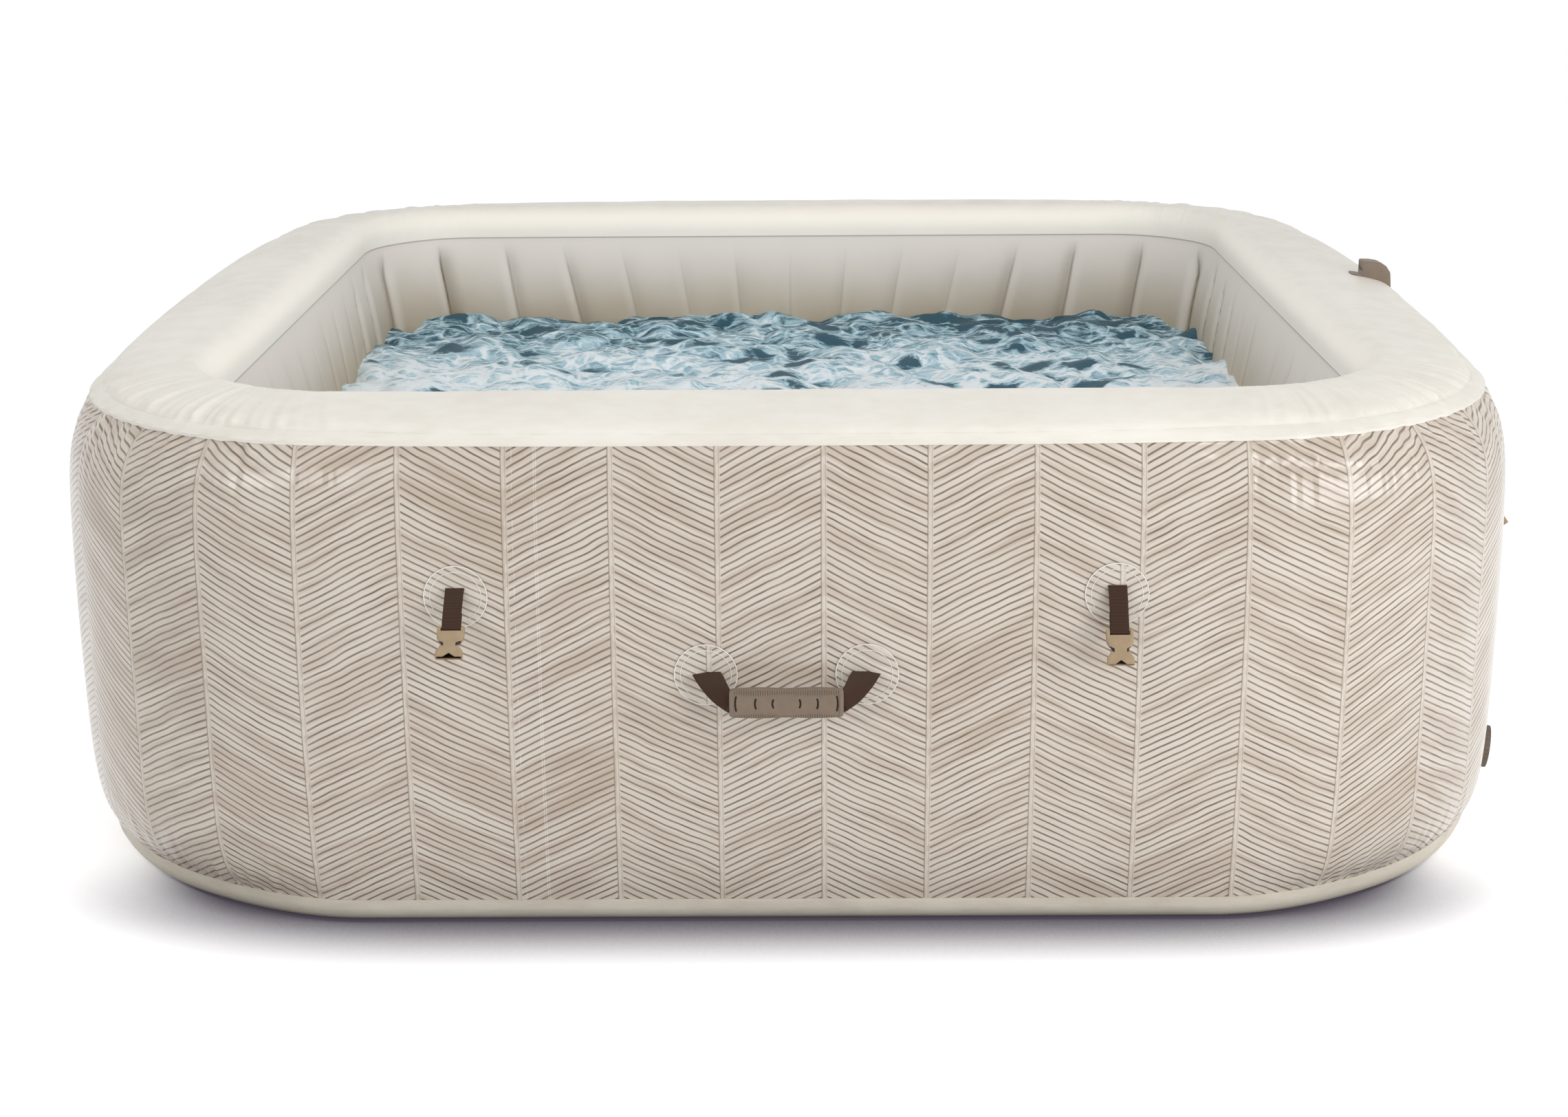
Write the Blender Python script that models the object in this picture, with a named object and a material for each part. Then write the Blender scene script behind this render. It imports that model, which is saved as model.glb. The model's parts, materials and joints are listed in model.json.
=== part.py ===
"""A square inflatable hot tub: welded skins round an air chamber, cover straps, handles and wall fittings.

The origin is the centre of the underside. The front faces -Y, and +Z is up. Lengths are in metres.
"""

import math

import bmesh
import bpy
from mathutils import Matrix, Vector

# The tub's outside.
TUB_WIDTH = 2.11
TUB_HEIGHT = 0.71
CORE_HALF = 0.585
CORNER_STEPS = 8

# Skins and their lap welds.
SKIN = 0.0012
FLOOR_SKIN = 0.0020
LAP = 0.010
FIT = 0.0003

# Outer wall and base band.
WALL_BULGE = 0.020
WALL_STEPS = 5
BAND_HEIGHT = 0.034
BAND_TUCK = 0.020
BAND_STEPS = 3
HEM_WIDTH = 0.018

# Rim.
RIM_DEPTH = 0.036
RIM_CROWN_INSET = 0.165
RIM_STEPS = 4

# Inner wall with its drawn-in channels.
WALL_DEPTH = 0.225
INNER_RIM_DEPTH = 0.054
INNER_FOOT_RISE = 0.020
INNER_BULGE = 0.050
INNER_STEPS = 4
CHANNELS_PER_SIDE = 9
CHANNEL_DEPTH = 0.012

# Strip of webbing panels inside the chamber.
WEB_SKIN = 0.0008
WEB_PANELS_PER_SIDE = 6

# Air channel on the floor.
BUBBLE_WIDTH = 0.060
BUBBLE_HEIGHT = 0.022
BUBBLE_FROM_WALL = 0.025
BUBBLE_STEPS = 4

# Cover straps.
PATCH_RADIUS = 0.0425
PATCH_SKIN = 0.0008
PATCH_SIDES = 16
STRAP_OFFSET = 0.437
STRAP_HEIGHT = 0.476
STRAP_SLIT_RISE = 0.011
STRAP_WIDTH = 0.025
STRAP_DROP = 0.062
STRAP_TAIL = 0.025
WEBBING = 0.0016
FOLD_RADIUS = 0.0024
FOLD_STEPS = 9
FRONT_LEFT_LEAN = 48.0
FRONT_RIGHT_LEAN = 30.0
RIGHT_FRONT_LEAN = 34.0
HANGING_LEAN = 10.0

# Buckle, the socket half of a side-release pair.
BUCKLE_THICK = 0.0095
BUCKLE_BAR_RADIUS = 0.0022
BUCKLE_ARM = 0.0048
BUCKLE_ARM_RISE = 0.0030
BUCKLE_LENGTH = 0.044
BUCKLE_SHOULDER = 0.014
BUCKLE_WAIST_HALF = 0.0125
BUCKLE_WAIST = 0.025
BUCKLE_MOUTH_HALF = 0.0180
BUCKLE_MOUTH_LENGTH = 0.011
BUCKLE_WALL = 0.0016
BUCKLE_SOCKET_HALF = 0.0148
BUCKLE_SOCKET_DEPTH = 0.026
BUCKLE_WINDOW = 0.008
BUCKLE_NOTCH_HALF = 0.0032
BUCKLE_NOTCH_DEPTH = 0.0055

# Carrying handles.
HANDLE_PATCH_OFFSET = 0.1075
HANDLE_HEIGHT = 0.367
HANDLE_SLIT_RISE = 0.004
HANDLE_WEBBING_WIDTH = 0.034
HANDLE_STEPS = 8
GRIP_LENGTH = 0.150
GRIP_HEIGHT = 0.041
GRIP_THICK = 0.013
GRIP_WAVE = 0.0012
GRIP_OUT = 0.050
GRIP_DROP = 0.025
GRIP_EDGE = 0.003
GRIP_SLOT_WIDTH = 0.0016
GRIP_SLOT_DEPTH = 0.0012
GRIP_SLOTS = ((0.062, 0.017), (0.037, 0.013), (0.015, 0.010))

# Ports through the wall.
PORT_HEIGHT = 0.338
PORT_SPACING = 0.150
PORT_SIDES = 16
WATER_TUBE = 0.0230
WATER_BORE = 0.0190
WATER_FLANGE = 0.0420
AIR_TUBE = 0.0150
AIR_BORE = 0.0120
AIR_FLANGE = 0.0300
AIR_STUB = 0.040
FLANGE_THICK = 0.0040
SPIGOT = 0.024
CAP_WALL = 0.0040
CAP_KNURL = 0.0012
TUBE_REACH = 0.014
STRAINER_FLANGE = 0.0340
STRAINER_WALL = 0.0025
STRAINER_LIP = 0.0030
STRAINER_SLOTS = 3
STRAINER_SLOT_WIDTH = 0.0045
STRAINER_SLOT_PITCH = 0.0095
PORT_PANEL_HALF = 0.200
HOSE_RADIUS = 0.0140
HOSE_WALL = 0.0020
HOSE_POINTS = 10
HOSE_FOOT_HEIGHT = 0.040

# Drain.
DRAIN_TURN = 10.0
DRAIN_HEIGHT = 0.115
DRAIN_TUBE = 0.0160
DRAIN_BORE = 0.0125
DRAIN_FLANGE = 0.0340
DRAIN_SPIGOT = 0.013
DRAIN_CAP_WALL = 0.0150
DRAIN_PLUG_LENGTH = 0.016
DRAIN_PLUG_HEAD = 0.0190
DRAIN_PLUG_HEAD_THICK = 0.004
SEAL_THICK = 0.0024

# Inflation valve.
VALVE_OFFSET = 0.390
VALVE_HEIGHT = 0.230
VALVE_FLANGE = 0.0360
VALVE_NECK = 0.0240
VALVE_BORE = 0.0190
VALVE_NECK_RISE = 0.012
VALVE_DEPTH = 0.036
VALVE_SHELF_DEPTH = 0.018
VALVE_SHELF = 0.003
STEM_RADIUS = 0.0040
STEM_BUTTON = 0.0100
STEM_DISC = 0.0150
STEM_PART = 0.0025

# Dock on the rim.
DOCK_OFFSET = 0.050
DOCK_WIDTH = 0.040
DOCK_HIGH_TURN = 50.0
DOCK_LOW_TURN = 13.0
DOCK_STEPS = 5
DOCK_RISE = 0.027
DOCK_TONGUE_TURN = 59.0
DOCK_TONGUE = 0.0025
DOCK_SLOT_WIDTH = 0.028
DOCK_SLOT_HEIGHT = 0.0055
DOCK_SLOT_DEPTH = 0.022
DOCK_SLOT_RISE = 0.009

# Places that follow from the sizes above.
WALL_HALF = TUB_WIDTH / 2
RIM_SEAM_HEIGHT = TUB_HEIGHT - RIM_DEPTH
INNER_SEAM_HEIGHT = TUB_HEIGHT - INNER_RIM_DEPTH
INNER_HALF = WALL_HALF - WALL_DEPTH
CROWN_HALF = WALL_HALF - RIM_CROWN_INSET
LAP_END = LAP + SKIN
FLOOR_LIFT = SKIN + FIT
FOOT_HEIGHT = FLOOR_LIFT + FLOOR_SKIN + FIT
HEM_HALF = INNER_HALF + HEM_WIDTH
AXIS_OUT = FIT + PATCH_SKIN + FIT + FOLD_RADIUS
RIGHT_SIDE = 1


def turning_bore(radius):
    """Corner radius of a faceted bore that clears a faceted shaft of a radius at every turn."""
    return (radius + FIT) / math.cos(math.pi / PORT_SIDES)


def wall_half(height):
    """Half-size of the outer wall at a height: widest half-way up, and drawn in towards both seams."""
    middle = (BAND_HEIGHT + RIM_SEAM_HEIGHT) / 2
    reach = (RIM_SEAM_HEIGHT - BAND_HEIGHT) / 2
    return WALL_HALF - WALL_BULGE * ((height - middle) / reach) ** 2


def wall_slope(height):
    """How fast the outer wall widens with height."""
    middle = (BAND_HEIGHT + RIM_SEAM_HEIGHT) / 2
    reach = (RIM_SEAM_HEIGHT - BAND_HEIGHT) / 2
    return -2 * WALL_BULGE * (height - middle) / reach**2


def inner_swell(height):
    """Share of the inner wall's bulge at a height, from 0 at the seam and the foot to 1 half-way."""
    middle = (INNER_FOOT_RISE + INNER_SEAM_HEIGHT) / 2
    reach = (INNER_SEAM_HEIGHT - INNER_FOOT_RISE) / 2
    return max(0.0, 1 - ((height - middle) / reach) ** 2)


def inner_half(height):
    """Half-size of the pool at a height, between the drawn-in lines."""
    return INNER_HALF + SKIN + FIT - INNER_BULGE * inner_swell(height)


def inner_reach(height, radius):
    """Half-size at which a flat flange of a radius meets the pool's skin, whose rows are straight in between."""
    rows = spread(INNER_FOOT_RISE, INNER_SEAM_HEIGHT, INNER_STEPS)
    pitch = (INNER_SEAM_HEIGHT - INNER_FOOT_RISE) / INNER_STEPS
    near = [row for row in rows if abs(row - height) < radius + pitch]
    return min(inner_half(row) for row in near)


def rim_point(turn):
    """A point of the rim's outer quarter, from 0 degrees at the outer lap to 90 at the crown, and its normal."""
    low = RIM_SEAM_HEIGHT + LAP_END
    across = wall_half(RIM_SEAM_HEIGHT) + FIT + SKIN - CROWN_HALF
    rise = TUB_HEIGHT - low
    angle = math.radians(turn)
    point = Vector((CROWN_HALF + across * math.cos(angle), low + rise * math.sin(angle)))
    normal = Vector((math.cos(angle) / across, math.sin(angle) / rise)).normalized()
    return point, normal


def spread(start, end, steps):
    """Evenly spaced values from start to end."""
    return [start + (end - start) * step / steps for step in range(steps + 1)]


def offset_line(line, distance):
    """The line moved to the left of its direction, with mitred corners."""
    points = [Vector(point) for point in line]
    ways = [(b - a).normalized() for a, b in zip(points, points[1:])]
    moved = []
    for index, point in enumerate(points):
        before = ways[max(index - 1, 0)]
        after = ways[min(index, len(ways) - 1)]
        normal = Vector((-before.y - after.y, before.x + after.x)).normalized()
        moved.append(point + normal * (distance / normal.dot(Vector((-after.y, after.x)))))
    return moved


def skin_section(line, thickness):
    """Closed section of a skin: the line, and back along the line's left side."""
    return [Vector(point) for point in line] + offset_line(line, thickness)[::-1]


def finish(name, colour, roughness):
    """A plain material."""
    material = bpy.data.materials.new(name)
    material.use_nodes = True
    shader = material.node_tree.nodes["Principled BSDF"]
    shader.inputs["Base Color"].default_value = (*colour, 1.0)
    shader.inputs["Roughness"].default_value = roughness
    return material


def add_object(name, bm, material, place=None):
    """Closes a bmesh into a named object with its faces pointing out."""
    bmesh.ops.recalc_face_normals(bm, faces=bm.faces)
    if bm.calc_volume(signed=True) < 0:
        bmesh.ops.reverse_faces(bm, faces=bm.faces)
    mesh = bpy.data.meshes.new(name)
    bm.to_mesh(mesh)
    bm.free()
    return add_copy(name, mesh, material, place)


def add_copy(name, mesh, material, place=None):
    """A named object on a mesh, shaded smooth up to a fold."""
    mesh.shade_smooth()
    mesh.set_sharp_from_angle(angle=math.radians(35))
    if material and not mesh.materials:
        mesh.materials.append(material)
    thing = bpy.data.objects.new(name, mesh)
    bpy.context.scene.collection.objects.link(thing)
    if place is not None:
        thing.matrix_world = place
    return thing


def add_empty(name, place):
    """A named frame for the pieces of one fitting."""
    empty = bpy.data.objects.new(name, None)
    bpy.context.scene.collection.objects.link(empty)
    empty.matrix_world = place
    return empty


def seat(piece, empty, local=Matrix()):
    """Parents a piece to a fitting's frame, at a local place."""
    piece.parent = empty
    piece.matrix_local = local
    return piece


def cut(target, cutter):
    """Cuts a helper out of a piece."""
    cutter.hide_render = True
    cutter.display_type = "WIRE"
    modifier = target.modifiers.new("cut_" + cutter.name, "BOOLEAN")
    modifier.operation = "DIFFERENCE"
    modifier.solver = "EXACT"
    modifier.object = cutter


def join(target, other):
    """Joins a helper onto a piece."""
    other.hide_render = True
    other.display_type = "WIRE"
    modifier = target.modifiers.new("join_" + other.name, "BOOLEAN")
    modifier.operation = "UNION"
    modifier.solver = "EXACT"
    modifier.object = other


def columns(side_steps):
    """Foot points on the core square and outward directions, anticlockwise from the front left."""
    found = []
    for side in range(4):
        turn = Matrix.Rotation(side * math.pi / 2, 2)
        for along in spread(-CORE_HALF, CORE_HALF, side_steps):
            found.append((turn @ Vector((along, -CORE_HALF)), turn @ Vector((0, -1))))
        for step in range(1, CORNER_STEPS):
            angle = math.pi / 2 * step / CORNER_STEPS
            found.append((turn @ Vector((CORE_HALF, -CORE_HALF)), turn @ Vector((math.sin(angle), -math.cos(angle)))))
    return found


def bridge_round(bm, loops):
    """Faces between neighbouring closed loops, and from the last loop to the first."""
    for one, two in zip(loops, loops[1:] + loops[:1]):
        for index, corner in enumerate(one):
            after = (index + 1) % len(one)
            bm.faces.new((corner, two[index], two[after], one[after]))


def bridge_folded(bm, loops):
    """Like bridge_round, in triangles split from the upper left to the lower right on both sides of a skin."""
    for one, two in zip(loops, loops[1:] + loops[:1]):
        for index, corner in enumerate(one):
            after = (index + 1) % len(one)
            spots = (corner, two[index], two[after], one[after])
            if corner.co.z < one[after].co.z:
                spots = spots[1:] + spots[:1]
            bm.faces.new((spots[0], spots[1], spots[2]))
            bm.faces.new((spots[0], spots[2], spots[3]))


def ring(name, section, material, side_steps=1, drawn=None):
    """Carries a closed section of half-sizes and heights round the tub."""
    bm = bmesh.new()
    loops = []
    for index, (foot, outward) in enumerate(columns(side_steps)):
        loop = []
        for half, height in section:
            pull = drawn(index, foot, outward, height) if drawn else 0.0
            point = foot + outward * (half + pull - CORE_HALF)
            loop.append(bm.verts.new((point.x, point.y, height)))
        loops.append(loop)
    bridge = bridge_folded if drawn else bridge_round
    bridge(bm, loops)
    return add_object(name, bm, material)


def turned(name, profile, material, sides, knurl=0.0, knurl_from=1.0):
    """Spins a profile of radii and outward distances about the local Y axis; ends on the axis close it."""
    closed = profile[0][0] > 0
    bm = bmesh.new()
    rings = []
    for radius, out in profile:
        if radius == 0:
            rings.append([bm.verts.new((0, -out, 0))])
            continue
        ring_points = []
        for step in range(sides):
            angle = 2 * math.pi * step / sides
            reach = radius - knurl * (step % 2) if radius >= knurl_from else radius
            ring_points.append(bm.verts.new((reach * math.cos(angle), -out, reach * math.sin(angle))))
        rings.append(ring_points)
    pairs = list(zip(rings, rings[1:] + rings[:1])) if closed else list(zip(rings, rings[1:]))
    for one, two in pairs:
        for step in range(sides):
            after = (step + 1) % sides
            if len(one) == 1:
                bm.faces.new((one[0], two[step], two[after]))
            elif len(two) == 1:
                bm.faces.new((one[step], two[0], one[after]))
            else:
                bm.faces.new((one[step], two[step], two[after], one[after]))
    return add_object(name, bm, material)


def prism(name, outline, low, high, material, axis="Y"):
    """Extrudes an outline from one place to another along Y (outline in X and Z) or X (outline in Y and Z)."""
    bm = bmesh.new()
    spots = [(a, low, b) if axis == "Y" else (low, a, b) for a, b in outline]
    face = bm.faces.new([bm.verts.new(spot) for spot in spots])
    grown = bmesh.ops.extrude_face_region(bm, geom=[face])["geom"]
    way = Vector((0, high - low, 0)) if axis == "Y" else Vector((high - low, 0, 0))
    bmesh.ops.translate(bm, verts=[item for item in grown if isinstance(item, bmesh.types.BMVert)], vec=way)
    return add_object(name, bm, material)


def block(name, low, high):
    """A box between two corners, as a helper."""
    outline = [(low[0], low[2]), (high[0], low[2]), (high[0], high[2]), (low[0], high[2])]
    return prism(name, outline, low[1], high[1], None)


def rod(name, radius, low, high, sides):
    """A round helper along the local Y axis, between two outward distances."""
    return turned(name, [(0, low), (radius, low), (radius, high), (0, high)], None, sides)


def baked(thing):
    """The mesh of a piece with its modifiers, and the piece and its helpers gone."""
    bpy.context.view_layer.update()
    graph = bpy.context.evaluated_depsgraph_get()
    mesh = bpy.data.meshes.new_from_object(thing.evaluated_get(graph))
    helpers = [modifier.object for modifier in thing.modifiers if modifier.type == "BOOLEAN"]
    for old in helpers + [thing]:
        bpy.data.objects.remove(old, do_unlink=True)
    return mesh


def wall_frame(foot, outward, height):
    """Frame on the outer wall: X along the wall, -Y along its outward normal, at a foot point and direction."""
    turn = math.atan2(outward.x, -outward.y)
    place = foot + outward * (wall_half(height) - CORE_HALF)
    tilt = math.atan(wall_slope(height))
    return (
        Matrix.Translation((place.x, place.y, height))
        @ Matrix.Rotation(turn, 4, "Z")
        @ Matrix.Rotation(tilt, 4, "X")
    )


def side_frame(side, along, height):
    """Frame on the flat run of a side: 0 front, 1 right, 2 back, 3 left."""
    turn = Matrix.Rotation(side * math.pi / 2, 2)
    return wall_frame(turn @ Vector((along, -CORE_HALF)), turn @ Vector((0, -1)), height)


def make_outer_wall(material):
    """The printed skin, lapped under the rim and behind the base band."""
    heights = spread(BAND_HEIGHT - LAP, RIM_SEAM_HEIGHT + LAP, WALL_STEPS)
    return ring("outer_wall", skin_section([(wall_half(z), z) for z in heights], SKIN), material)


def make_rim(material):
    """The top skin: up over the outer lap, across the crown and down to the inner lap."""
    line = [(wall_half(RIM_SEAM_HEIGHT) + FIT + SKIN, RIM_SEAM_HEIGHT)]
    for turn in spread(0, 90, RIM_STEPS):
        line.append(rim_point(turn)[0])
    low = INNER_SEAM_HEIGHT + LAP_END
    for turn in spread(0, math.pi / 2, RIM_STEPS)[1:]:
        half = CROWN_HALF - (CROWN_HALF - INNER_HALF) * math.sin(turn)
        line.append((half, low + (TUB_HEIGHT - low) * math.cos(turn)))
    line.append((INNER_HALF, INNER_SEAM_HEIGHT))
    return ring("rim", skin_section(line, SKIN), material)


def make_base_band(material):
    """The bottom band: a hem under the chamber, a round edge, and a lap over the printed skin."""
    side = wall_half(BAND_HEIGHT) + FIT + SKIN
    rise = BAND_HEIGHT - LAP_END
    line = [(HEM_HALF, 0.0)]
    for turn in spread(-math.pi / 2, 0, BAND_STEPS):
        line.append((side - BAND_TUCK + BAND_TUCK * math.cos(turn), rise + rise * math.sin(turn)))
    line.append((side, BAND_HEIGHT))
    return ring("base_band", skin_section(line, SKIN), material)


def make_floor(material):
    """The bottom sheet: flat, with an edge stepped up to lap over the band's hem."""
    flat = HEM_HALF - FIT - FLOOR_SKIN
    edge = HEM_HALF + LAP
    under = [(flat, 0.0), (flat + FLOOR_SKIN / 2, FLOOR_LIFT), (edge, FLOOR_LIFT)]
    over = [(half - FLOOR_SKIN / 2, height + FLOOR_SKIN) for half, height in under[:2]]
    section = under + [(edge, FLOOR_LIFT + FLOOR_SKIN)] + over[::-1]
    bm = bmesh.new()
    loops = []
    for half, height in section:
        points = [foot + outward * (half - CORE_HALF) for foot, outward in columns(1)]
        loops.append([bm.verts.new((point.x, point.y, height)) for point in points])
    for one, two in zip(loops, loops[1:]):
        for index, corner in enumerate(one):
            after = (index + 1) % len(one)
            bm.faces.new((corner, one[after], two[after], two[index]))
    bm.faces.new(loops[0][::-1])
    bm.faces.new(loops[-1])
    return add_object("floor_sheet", bm, material)


def make_inner_wall(material):
    """The pool's skin: lapped behind the rim, bulging into the pool, drawn back at every second column."""
    line = [(inner_half(INNER_SEAM_HEIGHT), INNER_SEAM_HEIGHT + LAP)]
    for height in spread(INNER_SEAM_HEIGHT, INNER_FOOT_RISE, INNER_STEPS):
        line.append((inner_half(height), height))
    line.append((inner_half(INNER_FOOT_RISE) + LAP / 2, FOOT_HEIGHT))
    line.append((HEM_HALF + LAP, FOOT_HEIGHT))

    def drawn(index, foot, outward, height):
        on_port_panel = outward.x > 0.999 and abs(foot.y) < PORT_PANEL_HALF
        if index % 2 == 0 or on_port_panel:
            return 0.0
        return CHANNEL_DEPTH * inner_swell(height)

    return ring("inner_wall", skin_section(line, SKIN), material, 2 * CHANNELS_PER_SIDE, drawn)


def make_tension_web(material):
    """A strip that runs to and fro between the two walls and is welded to each in turn."""
    pitch = 2 * CORE_HALF / WEB_PANELS_PER_SIDE
    heights = spread(INNER_FOOT_RISE, INNER_SEAM_HEIGHT, INNER_STEPS)[1:-1]
    wall_sag = WALL_BULGE / WALL_STEPS**2

    def plan(height):
        far = wall_half(height) - wall_sag - SKIN - FIT - WEB_SKIN
        near = inner_half(height) + CHANNEL_DEPTH * inner_swell(height) + SKIN + FIT + WEB_SKIN
        spots = []
        for side in range(4):
            turn = Matrix.Rotation(side * math.pi / 2, 2)
            outward = turn @ Vector((0, -1))
            spots.append((turn @ Vector((-CORE_HALF, -CORE_HALF)), outward, far))
            for panel in range(WEB_PANELS_PER_SIDE):
                foot = turn @ Vector((-CORE_HALF + pitch * (panel + 0.5), -CORE_HALF))
                ends = (far, near) if panel % 2 == 0 else (near, far)
                spots += [(foot, outward, end) for end in ends]
            spots.append((turn @ Vector((CORE_HALF, -CORE_HALF)), outward, far))
            for step in range(1, CORNER_STEPS):
                angle = math.pi / 2 * step / CORNER_STEPS
                outward = turn @ Vector((math.sin(angle), -math.cos(angle)))
                quarter = CORNER_STEPS // 4
                within = quarter <= step <= CORNER_STEPS - quarter
                ends = (near,) if within else (far,)
                ends = (far, near) if step == quarter else ends
                ends = (near, far) if step == CORNER_STEPS - quarter else ends
                spots += [(turn @ Vector((CORE_HALF, -CORE_HALF)), outward, end) for end in ends]
        return [foot + outward * (half - CORE_HALF) for foot, outward, half in spots]

    bm = bmesh.new()
    walls = []
    for height in heights:
        line = plan(height)
        looped = [line[-1]] + line + [line[0]]
        for distance in (WEB_SKIN / 2, -WEB_SKIN / 2):
            moved = offset_line(looped, distance)[1:-1]
            walls.append([bm.verts.new((point.x, point.y, height)) for point in moved])
    order = [walls[0], walls[2], walls[4], walls[5], walls[3], walls[1]]
    bridge_round(bm, order)
    return add_object("tension_web", bm, material)


def make_bubble_ring(material):
    """An arched channel laid on the floor round the foot of the inner wall."""
    middle = INNER_HALF - BUBBLE_FROM_WALL - BUBBLE_WIDTH / 2
    base = FLOOR_SKIN + FIT
    line = []
    for turn in spread(0, math.pi, BUBBLE_STEPS):
        line.append((middle + BUBBLE_WIDTH / 2 * math.cos(turn), base + BUBBLE_HEIGHT * math.sin(turn)))
    section = [(half, max(height, base)) for half, height in skin_section(line, SKIN)]
    return ring("bubble_ring", section, material)


def make_patch(name, material, frame):
    """A round welded patch, flat against the wall."""
    disc = turned(name, [(0, FIT), (PATCH_RADIUS, FIT), (PATCH_RADIUS, FIT + PATCH_SKIN), (0, FIT + PATCH_SKIN)],
                  material, PATCH_SIDES)
    return seat(disc, frame)


def strap_outline():
    """Side view of the webbing: a rolled fold on the hinge, a run down, and a turn round the buckle's bar."""
    around = BUCKLE_BAR_RADIUS + FIT + WEBBING / 2
    path = [(-FOLD_RADIUS / 2, 0.0), (-around, -STRAP_DROP)]
    for turn in spread(math.pi, 2 * math.pi, 6)[1:]:
        path.append((around * math.cos(turn), -STRAP_DROP + around * math.sin(turn)))
    front_at_tail = -around + (around - FOLD_RADIUS / 2) * STRAP_TAIL / STRAP_DROP
    path.append((front_at_tail + WEBBING + 2 * FIT, -STRAP_DROP + STRAP_TAIL))
    half = WEBBING / 2
    back = offset_line(path, half)
    front = offset_line(path, -half)
    roll = []
    for turn in spread(math.radians(-60), math.radians(210), FOLD_STEPS):
        roll.append(Vector((FOLD_RADIUS * math.cos(turn), FOLD_RADIUS * math.sin(turn))))
    return roll + front[1:] + back[:0:-1]


def make_strap_mesh(material):
    """The webbing of one strap, hanging from its hinge line at the origin."""
    strap = prism("strap", strap_outline(), -STRAP_WIDTH / 2, STRAP_WIDTH / 2, material, axis="X")
    return baked(strap)


def make_buckle_mesh(material):
    """The socket half of a side-release buckle, hanging from its webbing bar at the origin."""
    slot = STRAP_WIDTH / 2 + 2 * FIT
    clear = BUCKLE_BAR_RADIUS + FIT + WEBBING + 2 * FIT
    arm = slot + BUCKLE_ARM
    flare = BUCKLE_LENGTH - BUCKLE_MOUTH_LENGTH
    right = [
        (slot, -clear),
        (slot, BUCKLE_ARM_RISE),
        (arm - BUCKLE_ARM / 3, BUCKLE_ARM_RISE),
        (arm, -BUCKLE_ARM_RISE),
        (arm, -BUCKLE_SHOULDER),
        (BUCKLE_WAIST_HALF, -BUCKLE_WAIST),
        (BUCKLE_WAIST_HALF, -(BUCKLE_WAIST + flare) / 2),
        (BUCKLE_MOUTH_HALF, -flare),
        (BUCKLE_MOUTH_HALF, -BUCKLE_LENGTH),
    ]
    left = [(-x, z) for x, z in right[::-1]]
    half = BUCKLE_THICK / 2
    body = prism("buckle", right + left, -half, half, material)
    bar = rod("buckle_bar", BUCKLE_BAR_RADIUS, -slot - BUCKLE_ARM / 2, slot + BUCKLE_ARM / 2, 10)
    bar.matrix_world = Matrix.Rotation(math.pi / 2, 4, "Z")
    join(body, bar)
    tall = half - BUCKLE_WALL
    below = BUCKLE_LENGTH + BUCKLE_WALL
    top = -(BUCKLE_LENGTH - BUCKLE_SOCKET_DEPTH)
    socket = [
        (BUCKLE_SOCKET_HALF, -below),
        (BUCKLE_SOCKET_HALF, -flare),
        (BUCKLE_WAIST_HALF - BUCKLE_WALL, -(BUCKLE_WAIST + flare) / 2),
        (BUCKLE_WAIST_HALF - BUCKLE_WALL, top),
    ]
    socket += [(-x, z) for x, z in socket[::-1]]
    cut(body, prism("buckle_socket", socket, -tall, tall, None))
    window_top = -BUCKLE_WAIST + BUCKLE_WINDOW / 2
    window_low = window_top - BUCKLE_WINDOW
    cut(body, block("buckle_window", (-arm, -tall, window_low), (arm, tall, window_top)))
    notch_top = -BUCKLE_LENGTH + BUCKLE_NOTCH_DEPTH
    cut(body, block("buckle_notch", (-BUCKLE_NOTCH_HALF, -half - FIT, -below), (BUCKLE_NOTCH_HALF, 0, notch_top)))
    return baked(body)


def make_straps(clear_vinyl, brown_webbing, tan_plastic):
    """Two straps on each side: a patch, webbing that swings on it, and a buckle that tilts on the webbing."""
    strap_mesh = make_strap_mesh(brown_webbing)
    buckle_mesh = make_buckle_mesh(tan_plastic)
    leans = {
        "front_left": FRONT_LEFT_LEAN,
        "front_right": FRONT_RIGHT_LEAN,
        "right_front": RIGHT_FRONT_LEAN,
    }
    sides = (("front", "left", "right"), ("right", "front", "rear"), ("back", "right", "left"), ("left", "rear", "front"))
    for side, (side_name, low_name, high_name) in enumerate(sides):
        for end_name, along in ((low_name, -STRAP_OFFSET), (high_name, STRAP_OFFSET)):
            name = side_name + "_" + end_name
            frame = add_empty("strap_seat_" + name, side_frame(side, along, STRAP_HEIGHT))
            make_patch("strap_patch_" + name, clear_vinyl, frame)
            lean = Matrix.Rotation(-math.radians(leans.get(name, HANGING_LEAN)), 4, "X")
            hinge = Matrix.Translation((0, -AXIS_OUT, STRAP_SLIT_RISE)) @ lean
            strap = seat(add_copy("strap_webbing_" + name, strap_mesh, None), frame, hinge)
            buckle = add_copy("strap_buckle_" + name, buckle_mesh, None)
            seat(buckle, strap, Matrix.Translation((0, 0, -STRAP_DROP)))


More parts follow.
